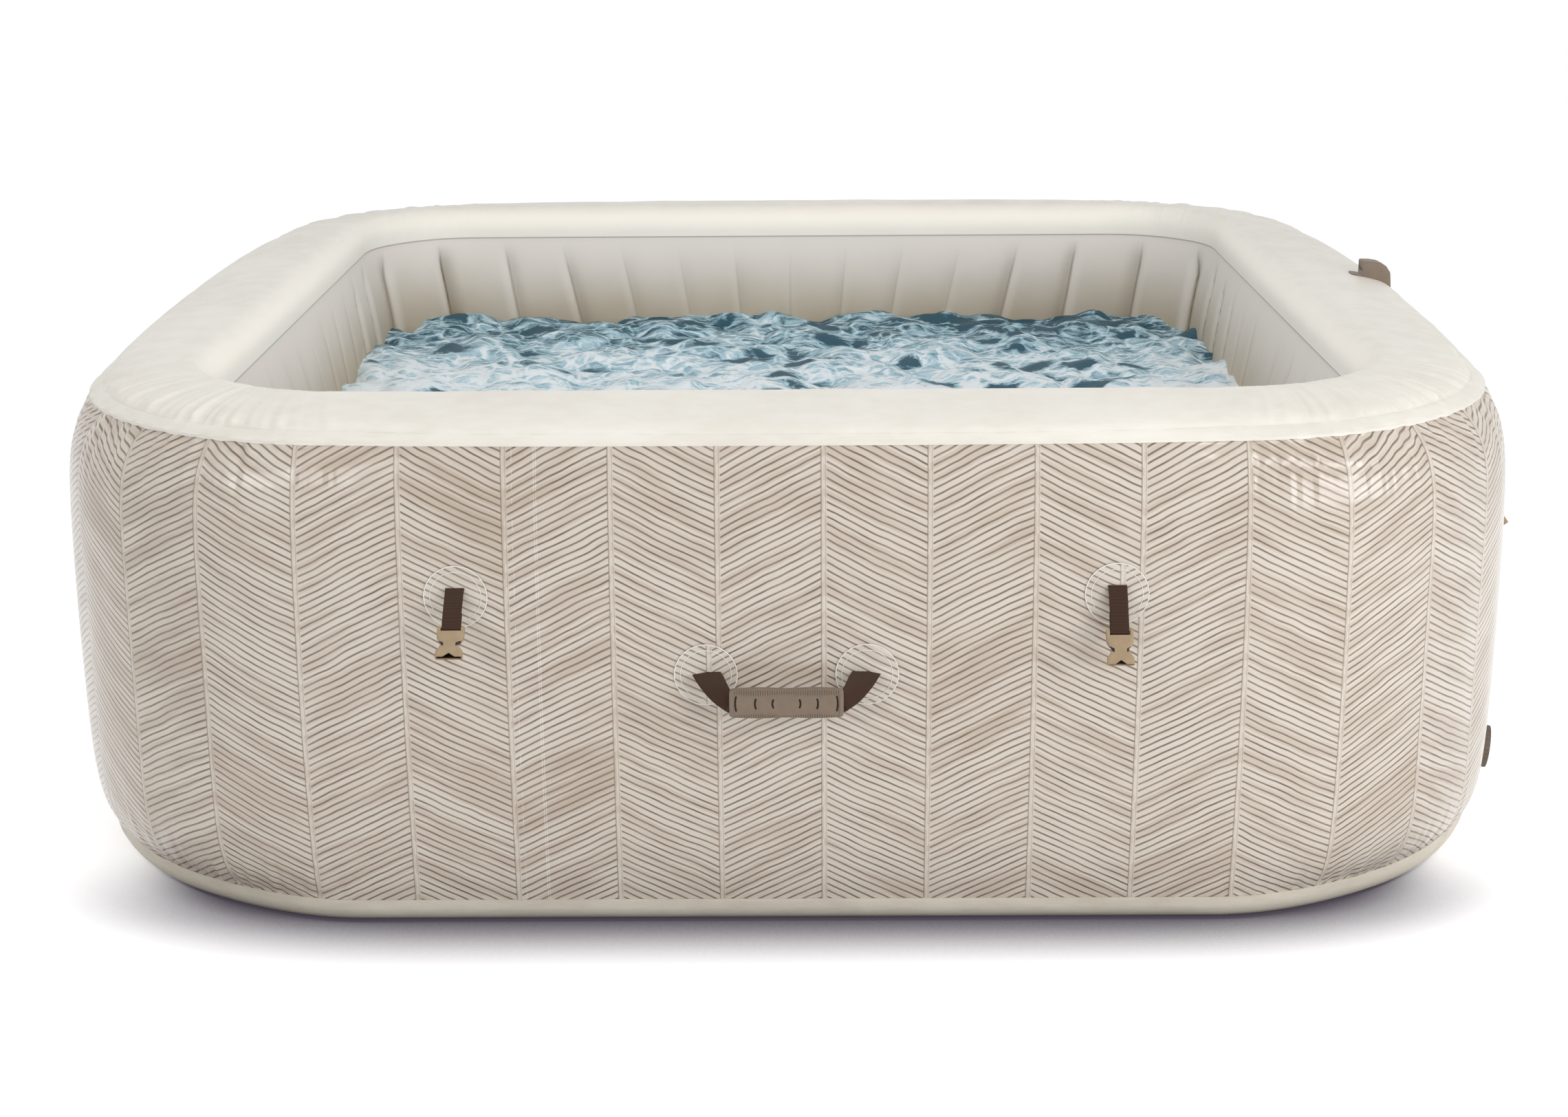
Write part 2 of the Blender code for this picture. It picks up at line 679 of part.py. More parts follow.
def handle_stations():
    """Cross-sections of a handle's webbing from the right patch to the left one, twisting by a quarter turn."""
    end = GRIP_LENGTH / 2 + WEBBING
    control = (
        Vector((HANDLE_PATCH_OFFSET, 0, 0)),
        Vector((HANDLE_PATCH_OFFSET, -0.65 * GRIP_OUT, -GRIP_DROP / 4)),
        Vector((end + 0.5 * (HANDLE_PATCH_OFFSET - end), -GRIP_OUT, -GRIP_DROP)),
        Vector((end, -GRIP_OUT, -GRIP_DROP)),
    )
    half = HANDLE_WEBBING_WIDTH / 2
    right = []
    fold = Vector((HANDLE_PATCH_OFFSET, 0.9 * FOLD_RADIUS, 0))
    right.append((fold, Vector((1, 0, 0)), Vector((0, 0, 1)), 0.7 * FOLD_RADIUS))
    right.append((control[0], Vector((1, 0, 0)), Vector((0, 0, 1)), 1.9 * FOLD_RADIUS))
    for t in spread(0, 1, HANDLE_STEPS)[1:]:
        s = 1 - t
        point = s**3 * control[0] + 3 * s * s * t * control[1] + 3 * s * t * t * control[2] + t**3 * control[3]
        along = s * s * (control[1] - control[0]) + 2 * s * t * (control[2] - control[1])
        along = (along + t * t * (control[3] - control[2])).normalized()
        twist = math.pi / 2 * t * t * (3 - 2 * t)
        wide = Vector((math.cos(twist), 0, math.sin(twist)))
        wide = (wide - along * wide.dot(along)).normalized()
        right.append((point, wide, along.cross(wide), WEBBING))
    stations = []
    for mirror in (1, -1):
        flip = Vector((mirror, 1, 1))
        for point, wide, normal, thick in right[::mirror]:
            corners = []
            for across, out in ((1, 1), (1, -1), (-1, -1), (-1, 1)):
                corners.append((point + wide * (half * across) + normal * (thick / 2 * out)) * flip)
            stations.append(corners)
    return stations


def make_handle(side, side_name, clear_vinyl, brown_webbing, taupe_plastic):
    """A carrying handle: two patches, one length of webbing through a moulded grip."""
    frame = add_empty("handle_seat_" + side_name, side_frame(side, 0.0, HANDLE_HEIGHT))
    for end_name, along in (("left", -HANDLE_PATCH_OFFSET), ("right", HANDLE_PATCH_OFFSET)):
        patch = make_patch("handle_patch_" + side_name + "_" + end_name, clear_vinyl, frame)
        patch.matrix_local = Matrix.Translation((along, 0, 0))
    hinge = Matrix.Translation((0, -AXIS_OUT, HANDLE_SLIT_RISE))
    bm = bmesh.new()
    loops = [[bm.verts.new(corner) for corner in station] for station in handle_stations()]
    for one, two in zip(loops, loops[1:]):
        for index, corner in enumerate(one):
            after = (index + 1) % len(one)
            bm.faces.new((corner, two[index], two[after], one[after]))
    bm.faces.new(loops[0])
    bm.faces.new(loops[-1][::-1])
    webbing = seat(add_object("handle_webbing_" + side_name, bm, brown_webbing), frame, hinge)
    grip = make_grip("handle_grip_" + side_name, taupe_plastic)
    seat(grip, webbing, Matrix.Translation((0, -GRIP_OUT, -GRIP_DROP)))


def make_grip(name, material):
    """A flat moulded sleeve with wavy long edges, a slit for the webbing and six slots in its face."""
    half = GRIP_LENGTH / 2
    top = []
    for along in spread(half - GRIP_EDGE, -half + GRIP_EDGE, 10):
        top.append((along, GRIP_HEIGHT / 2 - GRIP_WAVE * (1 + math.cos(4 * math.pi * along / GRIP_LENGTH)) / 2))
    ends = GRIP_HEIGHT / 2 - 2 * GRIP_EDGE
    outline = [(half, ends)] + top + [(-half, ends)]
    outline += [(x, -z) for x, z in outline[::-1]]
    sleeve = prism(name + "_form", outline, -GRIP_THICK / 2, GRIP_THICK / 2, material)
    bevel = sleeve.modifiers.new("edges", "BEVEL")
    bevel.width = GRIP_EDGE
    bevel.segments = 2
    bevel.limit_method = "ANGLE"
    bevel.angle_limit = math.radians(60)
    slit = HANDLE_WEBBING_WIDTH / 2 + FIT
    deep = WEBBING / 2 + FIT
    cut(sleeve, block(name + "_slit", (-GRIP_LENGTH, -deep, -slit), (GRIP_LENGTH, deep, slit)))
    front = -GRIP_THICK / 2
    for along, tall in GRIP_SLOTS:
        for sign in (-1, 1):
            x = sign * along
            low = (x - GRIP_SLOT_WIDTH / 2, front - GRIP_SLOT_DEPTH, -tall / 2)
            high = (x + GRIP_SLOT_WIDTH / 2, front + GRIP_SLOT_DEPTH, tall / 2)
            cut(sleeve, block(name + "_slot", low, high))
    return add_copy(name, baked(sleeve), material)


def make_port(name, material, frame, sizes, inner_end):
    """A fitting through the wall: flange outside, spigot for a hose, and a tube to an inward distance."""
    tube, bore, flange, spigot = sizes
    face = FIT + FLANGE_THICK
    profile = [(bore, -inner_end), (tube, -inner_end), (tube, FIT), (flange, FIT), (flange, face), (tube, face),
               (tube, spigot), (bore, spigot)]
    return seat(turned(name, profile[::-1], material, PORT_SIDES), frame)


def make_cap(name, material, frame, inside, spigot, wall, low):
    """A closed screw cap over a spigot, with a ribbed grip."""
    top = spigot + FIT
    outer = inside + wall
    profile = [(0, top), (inside, top), (inside, low), (outer, low), (outer, top + CAP_WALL), (0, top + CAP_WALL)]
    return seat(turned(name, profile, material, PORT_SIDES, CAP_KNURL, outer), frame)


def make_strainer(name, material, frame, wall_gap, tube_end):
    """A twist-on grille over a tube's end in the pool, seated on the inner wall."""
    inside = turning_bore(WATER_TUBE)
    start = wall_gap + FIT
    end = tube_end + FIT
    profile = [
        (0, -end),
        (inside, -end),
        (inside, -start),
        (STRAINER_FLANGE, -start),
        (STRAINER_FLANGE, -start - STRAINER_LIP),
        (inside + STRAINER_WALL, -start - STRAINER_LIP),
        (inside + STRAINER_WALL, -end - STRAINER_WALL / 2),
        (inside - STRAINER_WALL, -end - STRAINER_WALL),
        (0, -end - STRAINER_WALL),
    ]
    grille = turned(name, profile, material, PORT_SIDES)
    for slot in range(STRAINER_SLOTS):
        rise = STRAINER_SLOT_PITCH * (slot - (STRAINER_SLOTS - 1) / 2)
        length = 0.8 * math.sqrt(WATER_BORE**2 - rise**2)
        low = (-length, end - STRAINER_WALL, rise - STRAINER_SLOT_WIDTH / 2)
        high = (length, end + 2 * STRAINER_WALL, rise + STRAINER_SLOT_WIDTH / 2)
        cutter = block(name + "_slot", low, high)
        seat(cutter, frame)
        cut(grille, cutter)
    return seat(grille, frame)


def pierce(walls, name, radius, frame, low, high):
    """Clears a round hole for a fitting through the given skins."""
    cutter = seat(rod(name + "_hole", radius + FIT, low, high, PORT_SIDES), frame)
    for wall in walls:
        cut(wall, cutter)


def make_water_ports(walls, grey_plastic):
    """Water inlet and outlet: a port, its screw cap outside and its strainer in the pool."""
    for name, along in (("inlet", -PORT_SPACING), ("outlet", 0.0)):
        frame = add_empty(name + "_seat", side_frame(RIGHT_SIDE, along, PORT_HEIGHT))
        gap = wall_half(PORT_HEIGHT) - inner_reach(PORT_HEIGHT, STRAINER_FLANGE)
        end = gap + TUBE_REACH
        make_port(name + "_port", grey_plastic, frame, (WATER_TUBE, WATER_BORE, WATER_FLANGE, SPIGOT), end)
        make_cap(name + "_cap", grey_plastic, frame, turning_bore(WATER_TUBE), SPIGOT, CAP_WALL, 2 * FIT + FLANGE_THICK)
        make_strainer(name + "_strainer", grey_plastic, frame, gap + FIT, end)
        pierce(walls, name, WATER_TUBE, frame, -2 * end, WALL_BULGE)


def make_air_line(outer_wall, web, grey_plastic, clear_vinyl):
    """Air port with its cap, and the tube in the chamber that leads down to the bubble ring."""
    frame = add_empty("air_seat", side_frame(RIGHT_SIDE, PORT_SPACING, PORT_HEIGHT))
    make_port("air_port", grey_plastic, frame, (AIR_TUBE, AIR_BORE, AIR_FLANGE, SPIGOT), AIR_STUB)
    make_cap("air_cap", grey_plastic, frame, turning_bore(AIR_TUBE), SPIGOT, CAP_WALL, 2 * FIT + FLANGE_THICK)
    pierce((outer_wall, web), "air", AIR_TUBE, frame, -2 * AIR_STUB, WALL_BULGE)
    foot = INNER_HALF + 2 * SKIN + 2 * FIT
    start = frame.matrix_world @ Vector((0, AIR_STUB + FIT, 0))
    down = (start.x - foot) / 2
    control = (
        start,
        start + frame.matrix_world.to_3x3() @ Vector((0, down, 0)),
        Vector((foot + 2 * down, start.y, HOSE_FOOT_HEIGHT)),
        Vector((foot, start.y, HOSE_FOOT_HEIGHT)),
    )
    bm = bmesh.new()
    outer, inner = [], []
    for t in spread(0, 1, HOSE_POINTS):
        s = 1 - t
        point = s**3 * control[0] + 3 * s * s * t * control[1] + 3 * s * t * t * control[2] + t**3 * control[3]
        along = s * s * (control[1] - control[0]) + 2 * s * t * (control[2] - control[1])
        along = (along + t * t * (control[3] - control[2])).normalized()
        level = Vector((0, 1, 0))
        upright = along.cross(level)
        for rings, radius in ((outer, HOSE_RADIUS), (inner, HOSE_RADIUS - HOSE_WALL)):
            spots = []
            for step in range(PORT_SIDES // 2):
                angle = 4 * math.pi * step / PORT_SIDES
                spots.append(bm.verts.new(point + radius * (level * math.cos(angle) + upright * math.sin(angle))))
            rings.append(spots)
    bridge_round(bm, outer + inner[::-1])
    return add_object("air_tube", bm, clear_vinyl)


def make_drain(walls, taupe_plastic, dark_rubber):
    """Drain through the wall: port, seal, cap outside, and a plug in the pool end of the tube."""
    angle = math.radians(DRAIN_TURN)
    foot = Vector((CORE_HALF, -CORE_HALF))
    frame = add_empty("drain_seat", wall_frame(foot, Vector((math.cos(angle), -math.sin(angle))), DRAIN_HEIGHT))
    end = wall_half(DRAIN_HEIGHT) - inner_half(DRAIN_HEIGHT) + TUBE_REACH
    make_port("drain_port", taupe_plastic, frame, (DRAIN_TUBE, DRAIN_BORE, DRAIN_FLANGE, DRAIN_SPIGOT), end)
    face = FIT + FLANGE_THICK + FIT
    seal_in = DRAIN_TUBE + FIT
    seal_out = seal_in + DRAIN_CAP_WALL / 2
    seal = [(seal_in, face + SEAL_THICK), (seal_out, face + SEAL_THICK), (seal_out, face), (seal_in, face)]
    seat(turned("drain_seal", seal, dark_rubber, PORT_SIDES), frame)
    low = face + SEAL_THICK + FIT
    make_cap("drain_cap", taupe_plastic, frame, turning_bore(DRAIN_TUBE), DRAIN_SPIGOT, DRAIN_CAP_WALL, low)
    shaft = DRAIN_BORE - FIT
    head = end + FIT
    tail = head + DRAIN_PLUG_HEAD_THICK
    plug = [(0, -end + DRAIN_PLUG_LENGTH), (shaft, -end + DRAIN_PLUG_LENGTH), (shaft, -head), (DRAIN_PLUG_HEAD, -head),
            (DRAIN_PLUG_HEAD, -tail), (0, -tail)]
    seat(turned("drain_plug", plug, dark_rubber, PORT_SIDES), frame)
    pierce(walls, "drain", DRAIN_TUBE, frame, -2 * end, WALL_BULGE)


def make_valve(outer_wall, grey_plastic):
    """Inflation valve: a body in the outer wall, a stem that is pressed in, and a screw cap."""
    frame = add_empty("valve_seat", side_frame(RIGHT_SIDE, VALVE_OFFSET, VALVE_HEIGHT))
    face = FIT + FLANGE_THICK
    rise = face + VALVE_NECK_RISE
    hole = STEM_RADIUS + FIT
    shelf = -VALVE_SHELF_DEPTH
    body = [
        (VALVE_BORE, rise), (VALVE_NECK, rise), (VALVE_NECK, face), (VALVE_FLANGE, face), (VALVE_FLANGE, FIT),
        (VALVE_NECK, FIT), (VALVE_NECK, -VALVE_DEPTH), (VALVE_BORE, -VALVE_DEPTH), (VALVE_BORE, shelf - VALVE_SHELF),
        (hole, shelf - VALVE_SHELF), (hole, shelf), (VALVE_BORE, shelf),
    ]
    seat(turned("valve_body", body, grey_plastic, PORT_SIDES), frame)
    under = shelf - VALVE_SHELF - FIT
    stem = [
        (0, STEM_PART), (STEM_BUTTON, STEM_PART), (STEM_BUTTON, 0), (STEM_RADIUS, 0), (STEM_RADIUS, under),
        (STEM_DISC, under), (STEM_DISC, under - STEM_PART), (0, under - STEM_PART),
    ]
    seat(turned("valve_stem", stem, grey_plastic, PORT_SIDES), frame)
    make_cap("valve_cap", grey_plastic, frame, turning_bore(VALVE_NECK), rise, CAP_WALL, face + FIT)
    pierce((outer_wall,), "valve", VALVE_NECK, frame, -2 * VALVE_DEPTH, WALL_BULGE)


def make_dock(taupe_plastic):
    """A moulded dock on the rim's right shoulder: curved top, a tongue towards the pool, and a slot over it."""
    shared = [turn for turn in spread(90, 0, RIM_STEPS) if DOCK_LOW_TURN < turn < DOCK_TONGUE_TURN]
    bottom = []
    for turn in [DOCK_TONGUE_TURN] + shared + [DOCK_LOW_TURN]:
        point, normal = rim_point(turn)
        bottom.append(point + normal * FIT)
    inner = rim_point(DOCK_HIGH_TURN)[0]
    start = Vector((inner.x, inner.y + DOCK_RISE))
    reach = bottom[-1].x - start.x
    drop = start.y - bottom[-1].y
    top = []
    for turn in spread(0, math.pi / 2, DOCK_STEPS):
        top.append(Vector((start.x + reach * math.sin(turn), start.y - drop + drop * math.cos(turn))))
    lip = [bottom[0] + Vector((0, DOCK_TONGUE)), inner + Vector((0, DOCK_TONGUE + FIT))]
    section = bottom + top[-2::-1] + lip[::-1]
    outline = [(-point.x, point.y) for point in section]
    along = DOCK_OFFSET - DOCK_WIDTH / 2
    dock = prism("rim_dock", outline, along, along + DOCK_WIDTH, taupe_plastic, axis="X")
    low = inner.y + DOCK_SLOT_RISE
    cutter = block(
        "dock_slot",
        (DOCK_OFFSET - DOCK_SLOT_WIDTH / 2, -inner.x - DOCK_SLOT_DEPTH, low),
        (DOCK_OFFSET + DOCK_SLOT_WIDTH / 2, -inner.x + DOCK_SLOT_DEPTH, low + DOCK_SLOT_HEIGHT),
    )
    cut(dock, cutter)
    turn = add_empty("dock_seat", Matrix.Rotation(RIGHT_SIDE * math.pi / 2, 4, "Z"))
    seat(cutter, turn)
    return seat(dock, turn)


def build():
    """The whole tub."""
    for old in list(bpy.data.objects):
        bpy.data.objects.remove(old, do_unlink=True)
    cream_vinyl = finish("cream_vinyl", (0.80, 0.77, 0.70), 0.45)
    printed_vinyl = finish("printed_vinyl", (0.66, 0.61, 0.54), 0.5)
    greige_vinyl = finish("greige_vinyl", (0.62, 0.56, 0.48), 0.5)
    clear_vinyl = finish("clear_vinyl", (0.72, 0.69, 0.64), 0.25)
    web_fabric = finish("web_fabric", (0.75, 0.75, 0.73), 0.8)
    brown_webbing = finish("brown_webbing", (0.045, 0.022, 0.014), 0.8)
    tan_plastic = finish("tan_plastic", (0.45, 0.34, 0.23), 0.4)
    taupe_plastic = finish("taupe_plastic", (0.20, 0.15, 0.11), 0.45)
    grey_plastic = finish("grey_plastic", (0.24, 0.24, 0.24), 0.45)
    dark_rubber = finish("dark_rubber", (0.02, 0.02, 0.02), 0.7)

    outer_wall = make_outer_wall(printed_vinyl)
    make_rim(cream_vinyl)
    make_base_band(cream_vinyl)
    make_floor(greige_vinyl)
    inner_wall = make_inner_wall(greige_vinyl)
    web = make_tension_web(web_fabric)
    make_bubble_ring(greige_vinyl)
    make_straps(clear_vinyl, brown_webbing, tan_plastic)
    make_handle(0, "front", clear_vinyl, brown_webbing, taupe_plastic)
    make_handle(2, "back", clear_vinyl, brown_webbing, taupe_plastic)
    make_water_ports((outer_wall, inner_wall, web), grey_plastic)
    make_air_line(outer_wall, web, grey_plastic, clear_vinyl)
    make_drain((outer_wall, inner_wall), taupe_plastic, dark_rubber)
    make_valve(outer_wall, grey_plastic)
    make_dock(taupe_plastic)


build()
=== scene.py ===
# %% [markdown]
# # An inflatable hot tub
# The tub is a ring of air held in welded vinyl skins: a printed skin outside, a cream rim on top, a greige
# skin towards the pool and a band at the foot. The engineering model gives the places and the joints, and
# this lesson dresses it: every skin is worked out again as a fine surface with its folds, and each fitting
# gets its moulded or woven shape. First the model is loaded.

# %% The engineering model
import json
import math

import bmesh
import bpy
import numpy as np
from mathutils import Matrix, Vector


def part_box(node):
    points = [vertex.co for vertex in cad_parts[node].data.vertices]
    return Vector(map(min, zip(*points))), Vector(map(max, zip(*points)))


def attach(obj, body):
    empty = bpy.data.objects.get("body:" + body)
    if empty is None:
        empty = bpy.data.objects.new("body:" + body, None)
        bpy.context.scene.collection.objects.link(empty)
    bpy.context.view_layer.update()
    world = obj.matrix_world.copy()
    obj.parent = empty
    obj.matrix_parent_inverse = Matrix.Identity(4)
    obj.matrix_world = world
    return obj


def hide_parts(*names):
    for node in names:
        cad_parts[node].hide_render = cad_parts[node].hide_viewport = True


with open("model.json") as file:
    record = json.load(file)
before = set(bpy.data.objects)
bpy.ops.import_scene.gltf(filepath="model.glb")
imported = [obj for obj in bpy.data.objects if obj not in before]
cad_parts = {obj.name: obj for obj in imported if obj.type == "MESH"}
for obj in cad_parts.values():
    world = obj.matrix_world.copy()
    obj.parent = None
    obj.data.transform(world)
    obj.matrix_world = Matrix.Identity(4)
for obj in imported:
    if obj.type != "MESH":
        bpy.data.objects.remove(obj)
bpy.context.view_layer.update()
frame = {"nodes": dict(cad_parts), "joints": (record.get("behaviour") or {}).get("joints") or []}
joints = {joint["name"]: joint for joint in frame["joints"]}
print("joints:", len(joints), "nodes:", len(frame["nodes"]))

# %% [markdown]
# ## A surface from two parameters
# A skin, a turned cap and a length of webbing are all surfaces over two parameters. numpy works out the
# whole grid of points at once, and one helper turns any such grid into a mesh. The helper measures the
# signed volume of a closed grid, so that the faces point outwards whichever way the parameters run.


# %% A mesh from a grid of points
def put(name, data):
    """An object at the origin, linked to the scene."""
    piece = bpy.data.objects.new(name, data)
    bpy.context.scene.collection.objects.link(piece)
    return piece


def surface(name, points, material, wrap=(True, True), uv=None, weld=False, sharp=60.0):
    """Points (n, m, 3) become quads between neighbours; wrap joins the last row or column to the first."""
    n, m = points.shape[:2]
    ids = np.arange(n * m).reshape(n, m)
    ids = np.vstack([ids, ids[:1]]) if wrap[0] else ids
    ids = np.hstack([ids, ids[:, :1]]) if wrap[1] else ids
    corners = (ids[:-1, :-1], ids[1:, :-1], ids[1:, 1:], ids[:-1, 1:])
    quads = np.stack(corners, axis=-1).reshape(-1, 4)
    flat = points.reshape(-1, 3)
    a, b, c, d = (flat[quads[:, k]] for k in range(4))
    volume = np.einsum("ij,ij->", a, np.cross(b, c)) + np.einsum("ij,ij->", a, np.cross(c, d))
    order = [3, 2, 1, 0] if volume < 0 else [0, 1, 2, 3]
    mesh = bpy.data.meshes.new(name)
    mesh.from_pydata(flat, [], quads[:, order])
    if uv is not None:
        spots = (uv[:-1, :-1], uv[1:, :-1], uv[1:, 1:], uv[:-1, 1:])
        loops = np.stack(spots, axis=2).reshape(-1, 4, 2)[:, order]
        layer = mesh.uv_layers.new(name="lay")
        layer.data.foreach_set("uv", loops.reshape(-1).astype(np.float32))
    if weld:
        bm = bmesh.new()
        bm.from_mesh(mesh)
        bmesh.ops.remove_doubles(bm, verts=bm.verts, dist=1e-7)
        bm.to_mesh(mesh)
        bm.free()
    mesh.shade_smooth()
    mesh.set_sharp_from_angle(angle=math.radians(sharp))
    mesh.materials.append(material)
    return put(name, mesh)


def joined(name, pieces):
    """Several pieces become one mesh object, with their materials side by side."""
    bm = bmesh.new()
    materials = []
    for piece in pieces:
        slots = []
        for material in piece.data.materials:
            if material not in materials:
                materials.append(material)
            slots.append(materials.index(material))
        first = len(bm.faces)
        bm.from_mesh(piece.data)
        bm.faces.ensure_lookup_table()
        for face in bm.faces[first:]:
            face.material_index = slots[face.material_index]
        bpy.data.objects.remove(piece, do_unlink=True)
    mesh = bpy.data.meshes.new(name)
    bm.to_mesh(mesh)
    bm.free()
    for material in materials:
        mesh.materials.append(material)
    return put(name, mesh)


def mark(piece, name, values):
    """Keeps one number for each point of a grid, for the finish to read."""
    attribute = piece.data.attributes.new(name, "FLOAT", "POINT")
    attribute.data.foreach_set("value", np.ascontiguousarray(values, np.float32).reshape(-1))
    return piece


def dress(piece, body, slot, *nodes):
    """The piece rides on a body and stands for its nodes; the slot is not used."""
    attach(piece, body)
    if nodes:
        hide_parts(*nodes)
    print(piece.name, len(piece.data.polygons), "faces")


# %% [markdown]
# ## Curves and rises
# The shapes below are made of a few kinds of curve, so each has a short name: a straight rise, a bell, a
# fall that fades out, the angles of a turn, and a cubic curve through space with the way along it.


# %% Curves and rises
def ramp(values, width):
    """A straight rise from 0 to 1 over a width, level before and after."""
    return np.clip(values / width, 0, 1)


def hump(values, width):
    """A bell of height 1 round 0: the exponential of minus the square of the values over the width."""
    return np.exp(-((values / width) ** 2))


def fading(values, width):
    """1 up to 0, then an exponential fall with the width as its length."""
    return np.exp(-np.clip(values, 0, None) / width)


def full_turn(count):
    """Angles once round, without the last, which would repeat the first."""
    return np.linspace(0, 2 * math.pi, count + 1)[:-1]


def unit(vectors):
    """Each vector at a length of 1."""
    return vectors / np.linalg.norm(vectors, axis=-1, keepdims=True)


def travelled(path):
    """The way along a path up to each of its points."""
    return np.r_[0, np.cumsum(np.linalg.norm(np.diff(path, axis=0), axis=1))]


def cubic(knots, t):
    """A cubic curve between two end knots that heads for the two knots between them."""
    s = 1 - t
    return s**3 * knots[0] + 3 * s * s * t * knots[1] + 3 * s * t * t * knots[2] + t**3 * knots[3]


print("ramp of 0.5 over 2:", ramp(0.5, 2.0))


# %% [markdown]
# ## Shader sums
# A finish such as the print is a formula over the surface. Written with nodes by hand it would be hard to
# read, so one small class wraps a socket: adding or multiplying two of them adds the Math node that does
# it, and any other node comes from one method.


# %% A socket that can be added and multiplied
class Wire:
    """A socket in a material, used like a number."""

    def __init__(self, tree, socket):
        self.tree = tree
        self.socket = socket

    def node(self, kind, settings=None, inputs=None, output=0):
        """Any node: its type, its settings, its inputs by name or place, and which output goes on."""
        made = self.tree.nodes.new("ShaderNode" + kind)
        for key, value in (settings or {}).items():
            setattr(made, key, value)
        for key, value in (inputs or {}).items():
            socket = made.inputs[key]
            if isinstance(value, Wire):
                self.tree.links.new(value.socket, socket)
            else:
                socket.default_value = value
        return Wire(self.tree, made.outputs[output])

    def math(self, operation, *values):
        return self.node("Math", {"operation": operation}, dict(enumerate(values)))

    def __add__(self, other):
        return self.math("ADD", self, other)

    def __radd__(self, other):
        return self.math("ADD", other, self)

    def __sub__(self, other):
        return self.math("SUBTRACT", self, other)

    def __rsub__(self, other):
        return self.math("SUBTRACT", other, self)

    def __mul__(self, other):
        return self.math("MULTIPLY", self, other)

    def __rmul__(self, other):
        return self.math("MULTIPLY", other, self)

    def __truediv__(self, other):
        return self.math("DIVIDE", self, other)

    def __mod__(self, other):
        return self.math("FLOORED_MODULO", self, other)

    def __abs__(self):
        return self.math("ABSOLUTE", self)

    def floor(self):
        return self.math("FLOOR", self)

    def step(self, low, high):
        """0 below low, 1 above high, with a soft passage between."""
        inputs = {0: self, 1: low, 2: high, 3: 0.0, 4: 1.0}
        return self.node("MapRange", {"interpolation_type": "SMOOTHSTEP"}, inputs)

    def mix(self, first, second):
        """A colour between two, with this wire as the share of the second."""
        return self.node("Mix", {"data_type": "RGBA"}, {0: self, 6: first, 7: second}, output=2)

    def stretch(self, x, y, z):
        """This vector with its three parts scaled."""
        return self.node("VectorMath", {"operation": "MULTIPLY"}, {0: self, 1: (x, y, z)})

    def noise(self, scale, detail=2.0, roughness=0.5):
        """Cloudy noise from 0 to 1, read at this vector."""
        inputs = {"Vector": self, "Scale": scale, "Detail": detail, "Roughness": roughness}
        return self.node("TexNoise", None, inputs)

    def cells(self, feature, scale, **more):
        """A distance in a pattern of Voronoi cells, read at this vector."""
        return self.node("TexVoronoi", {"feature": feature}, {"Vector": self, "Scale": scale, **more})

    def parts(self):
        """The first two parts of this vector."""
        split = self.tree.nodes.new("ShaderNodeSeparateXYZ")
        self.tree.links.new(self.socket, split.inputs[0])
        return Wire(self.tree, split.outputs[0]), Wire(self.tree, split.outputs[1])


def tint(red, green, blue):
    """A colour as a paint chart gives it, 0 to 255, turned into the linear values that a shader uses."""
    share = np.array([red, green, blue]) / 255.0
    linear = np.where(share <= 0.04045, share / 12.92, ((share + 0.055) / 1.055) ** 2.4)
    return (*[float(value) for value in linear], 1.0)


class Finish:
    """A material with its shader, and the wires that a pattern starts from."""

    def __init__(self, name, **fixed):
        self.material = bpy.data.materials.new(name)
        self.material.use_nodes = True
        self.tree = self.material.node_tree
        self.shader = self.tree.nodes["Principled BSDF"]
        for key, value in fixed.items():
            self.shader.inputs[key.replace("_", " ")].default_value = value
        place = self.tree.nodes.new("ShaderNodeTexCoord")
        self.place = Wire(self.tree, place.outputs["Object"])
        self.lay = self.place.node("UVMap", {"uv_map": "lay"})

    def wear(self, **sockets):
        """Joins wires to the shader's sockets."""
        for key, wire in sockets.items():
            self.tree.links.new(wire.socket, self.shader.inputs[key.replace("_", " ")])
        return self.material

    def relief(self, height, distance):
        """A normal from a height field, as deep as distance where the height is 1."""
        return height.node("Bump", None, {"Strength": 1.0, "Distance": distance, "Height": height})


# %% [markdown]
# ## The plan of the tub
# Every skin follows the same rounded square: straight runs and quarter circles round the corners of a core
# square. A column is one vertical slice, with a foot point on the core and a direction outwards, and a skin
# is one profile of half-sizes and heights carried round all columns. The columns are closer at the corners,
# where the vinyl gathers into small folds.

# %% Columns round the tub
CORE_HALF = 0.585
WALL_HALF = 1.055
WALL_BULGE = 0.020
BAND_HEIGHT = 0.034
RIM_SEAM = 0.674
CROWN_HALF = 0.875
TOP = 0.714
INNER_HALF = 0.830
INNER_SEAM = 0.656
INNER_FOOT = 0.020
INNER_BULGE = 0.050
LAP = 0.0112
SKIN = 0.0012
FIT = 0.0003
MEAN_RADIUS = WALL_HALF - CORE_HALF
ROUND = 8 * CORE_HALF + 2 * math.pi * MEAN_RADIUS
POOL_RADIUS = 0.220
POOL_ROUND = 8 * CORE_HALF + 2 * math.pi * POOL_RADIUS
SEAM_TUCK, SEAM_PULL, FOOT_PULL = 0.006, 0.014, 0.016
CORNER_ROOM, ROOM_FOOT = 0.018, 0.300
BEND_START, BEND_REACH, PULL_REACH = 0.30, 0.07, 0.16


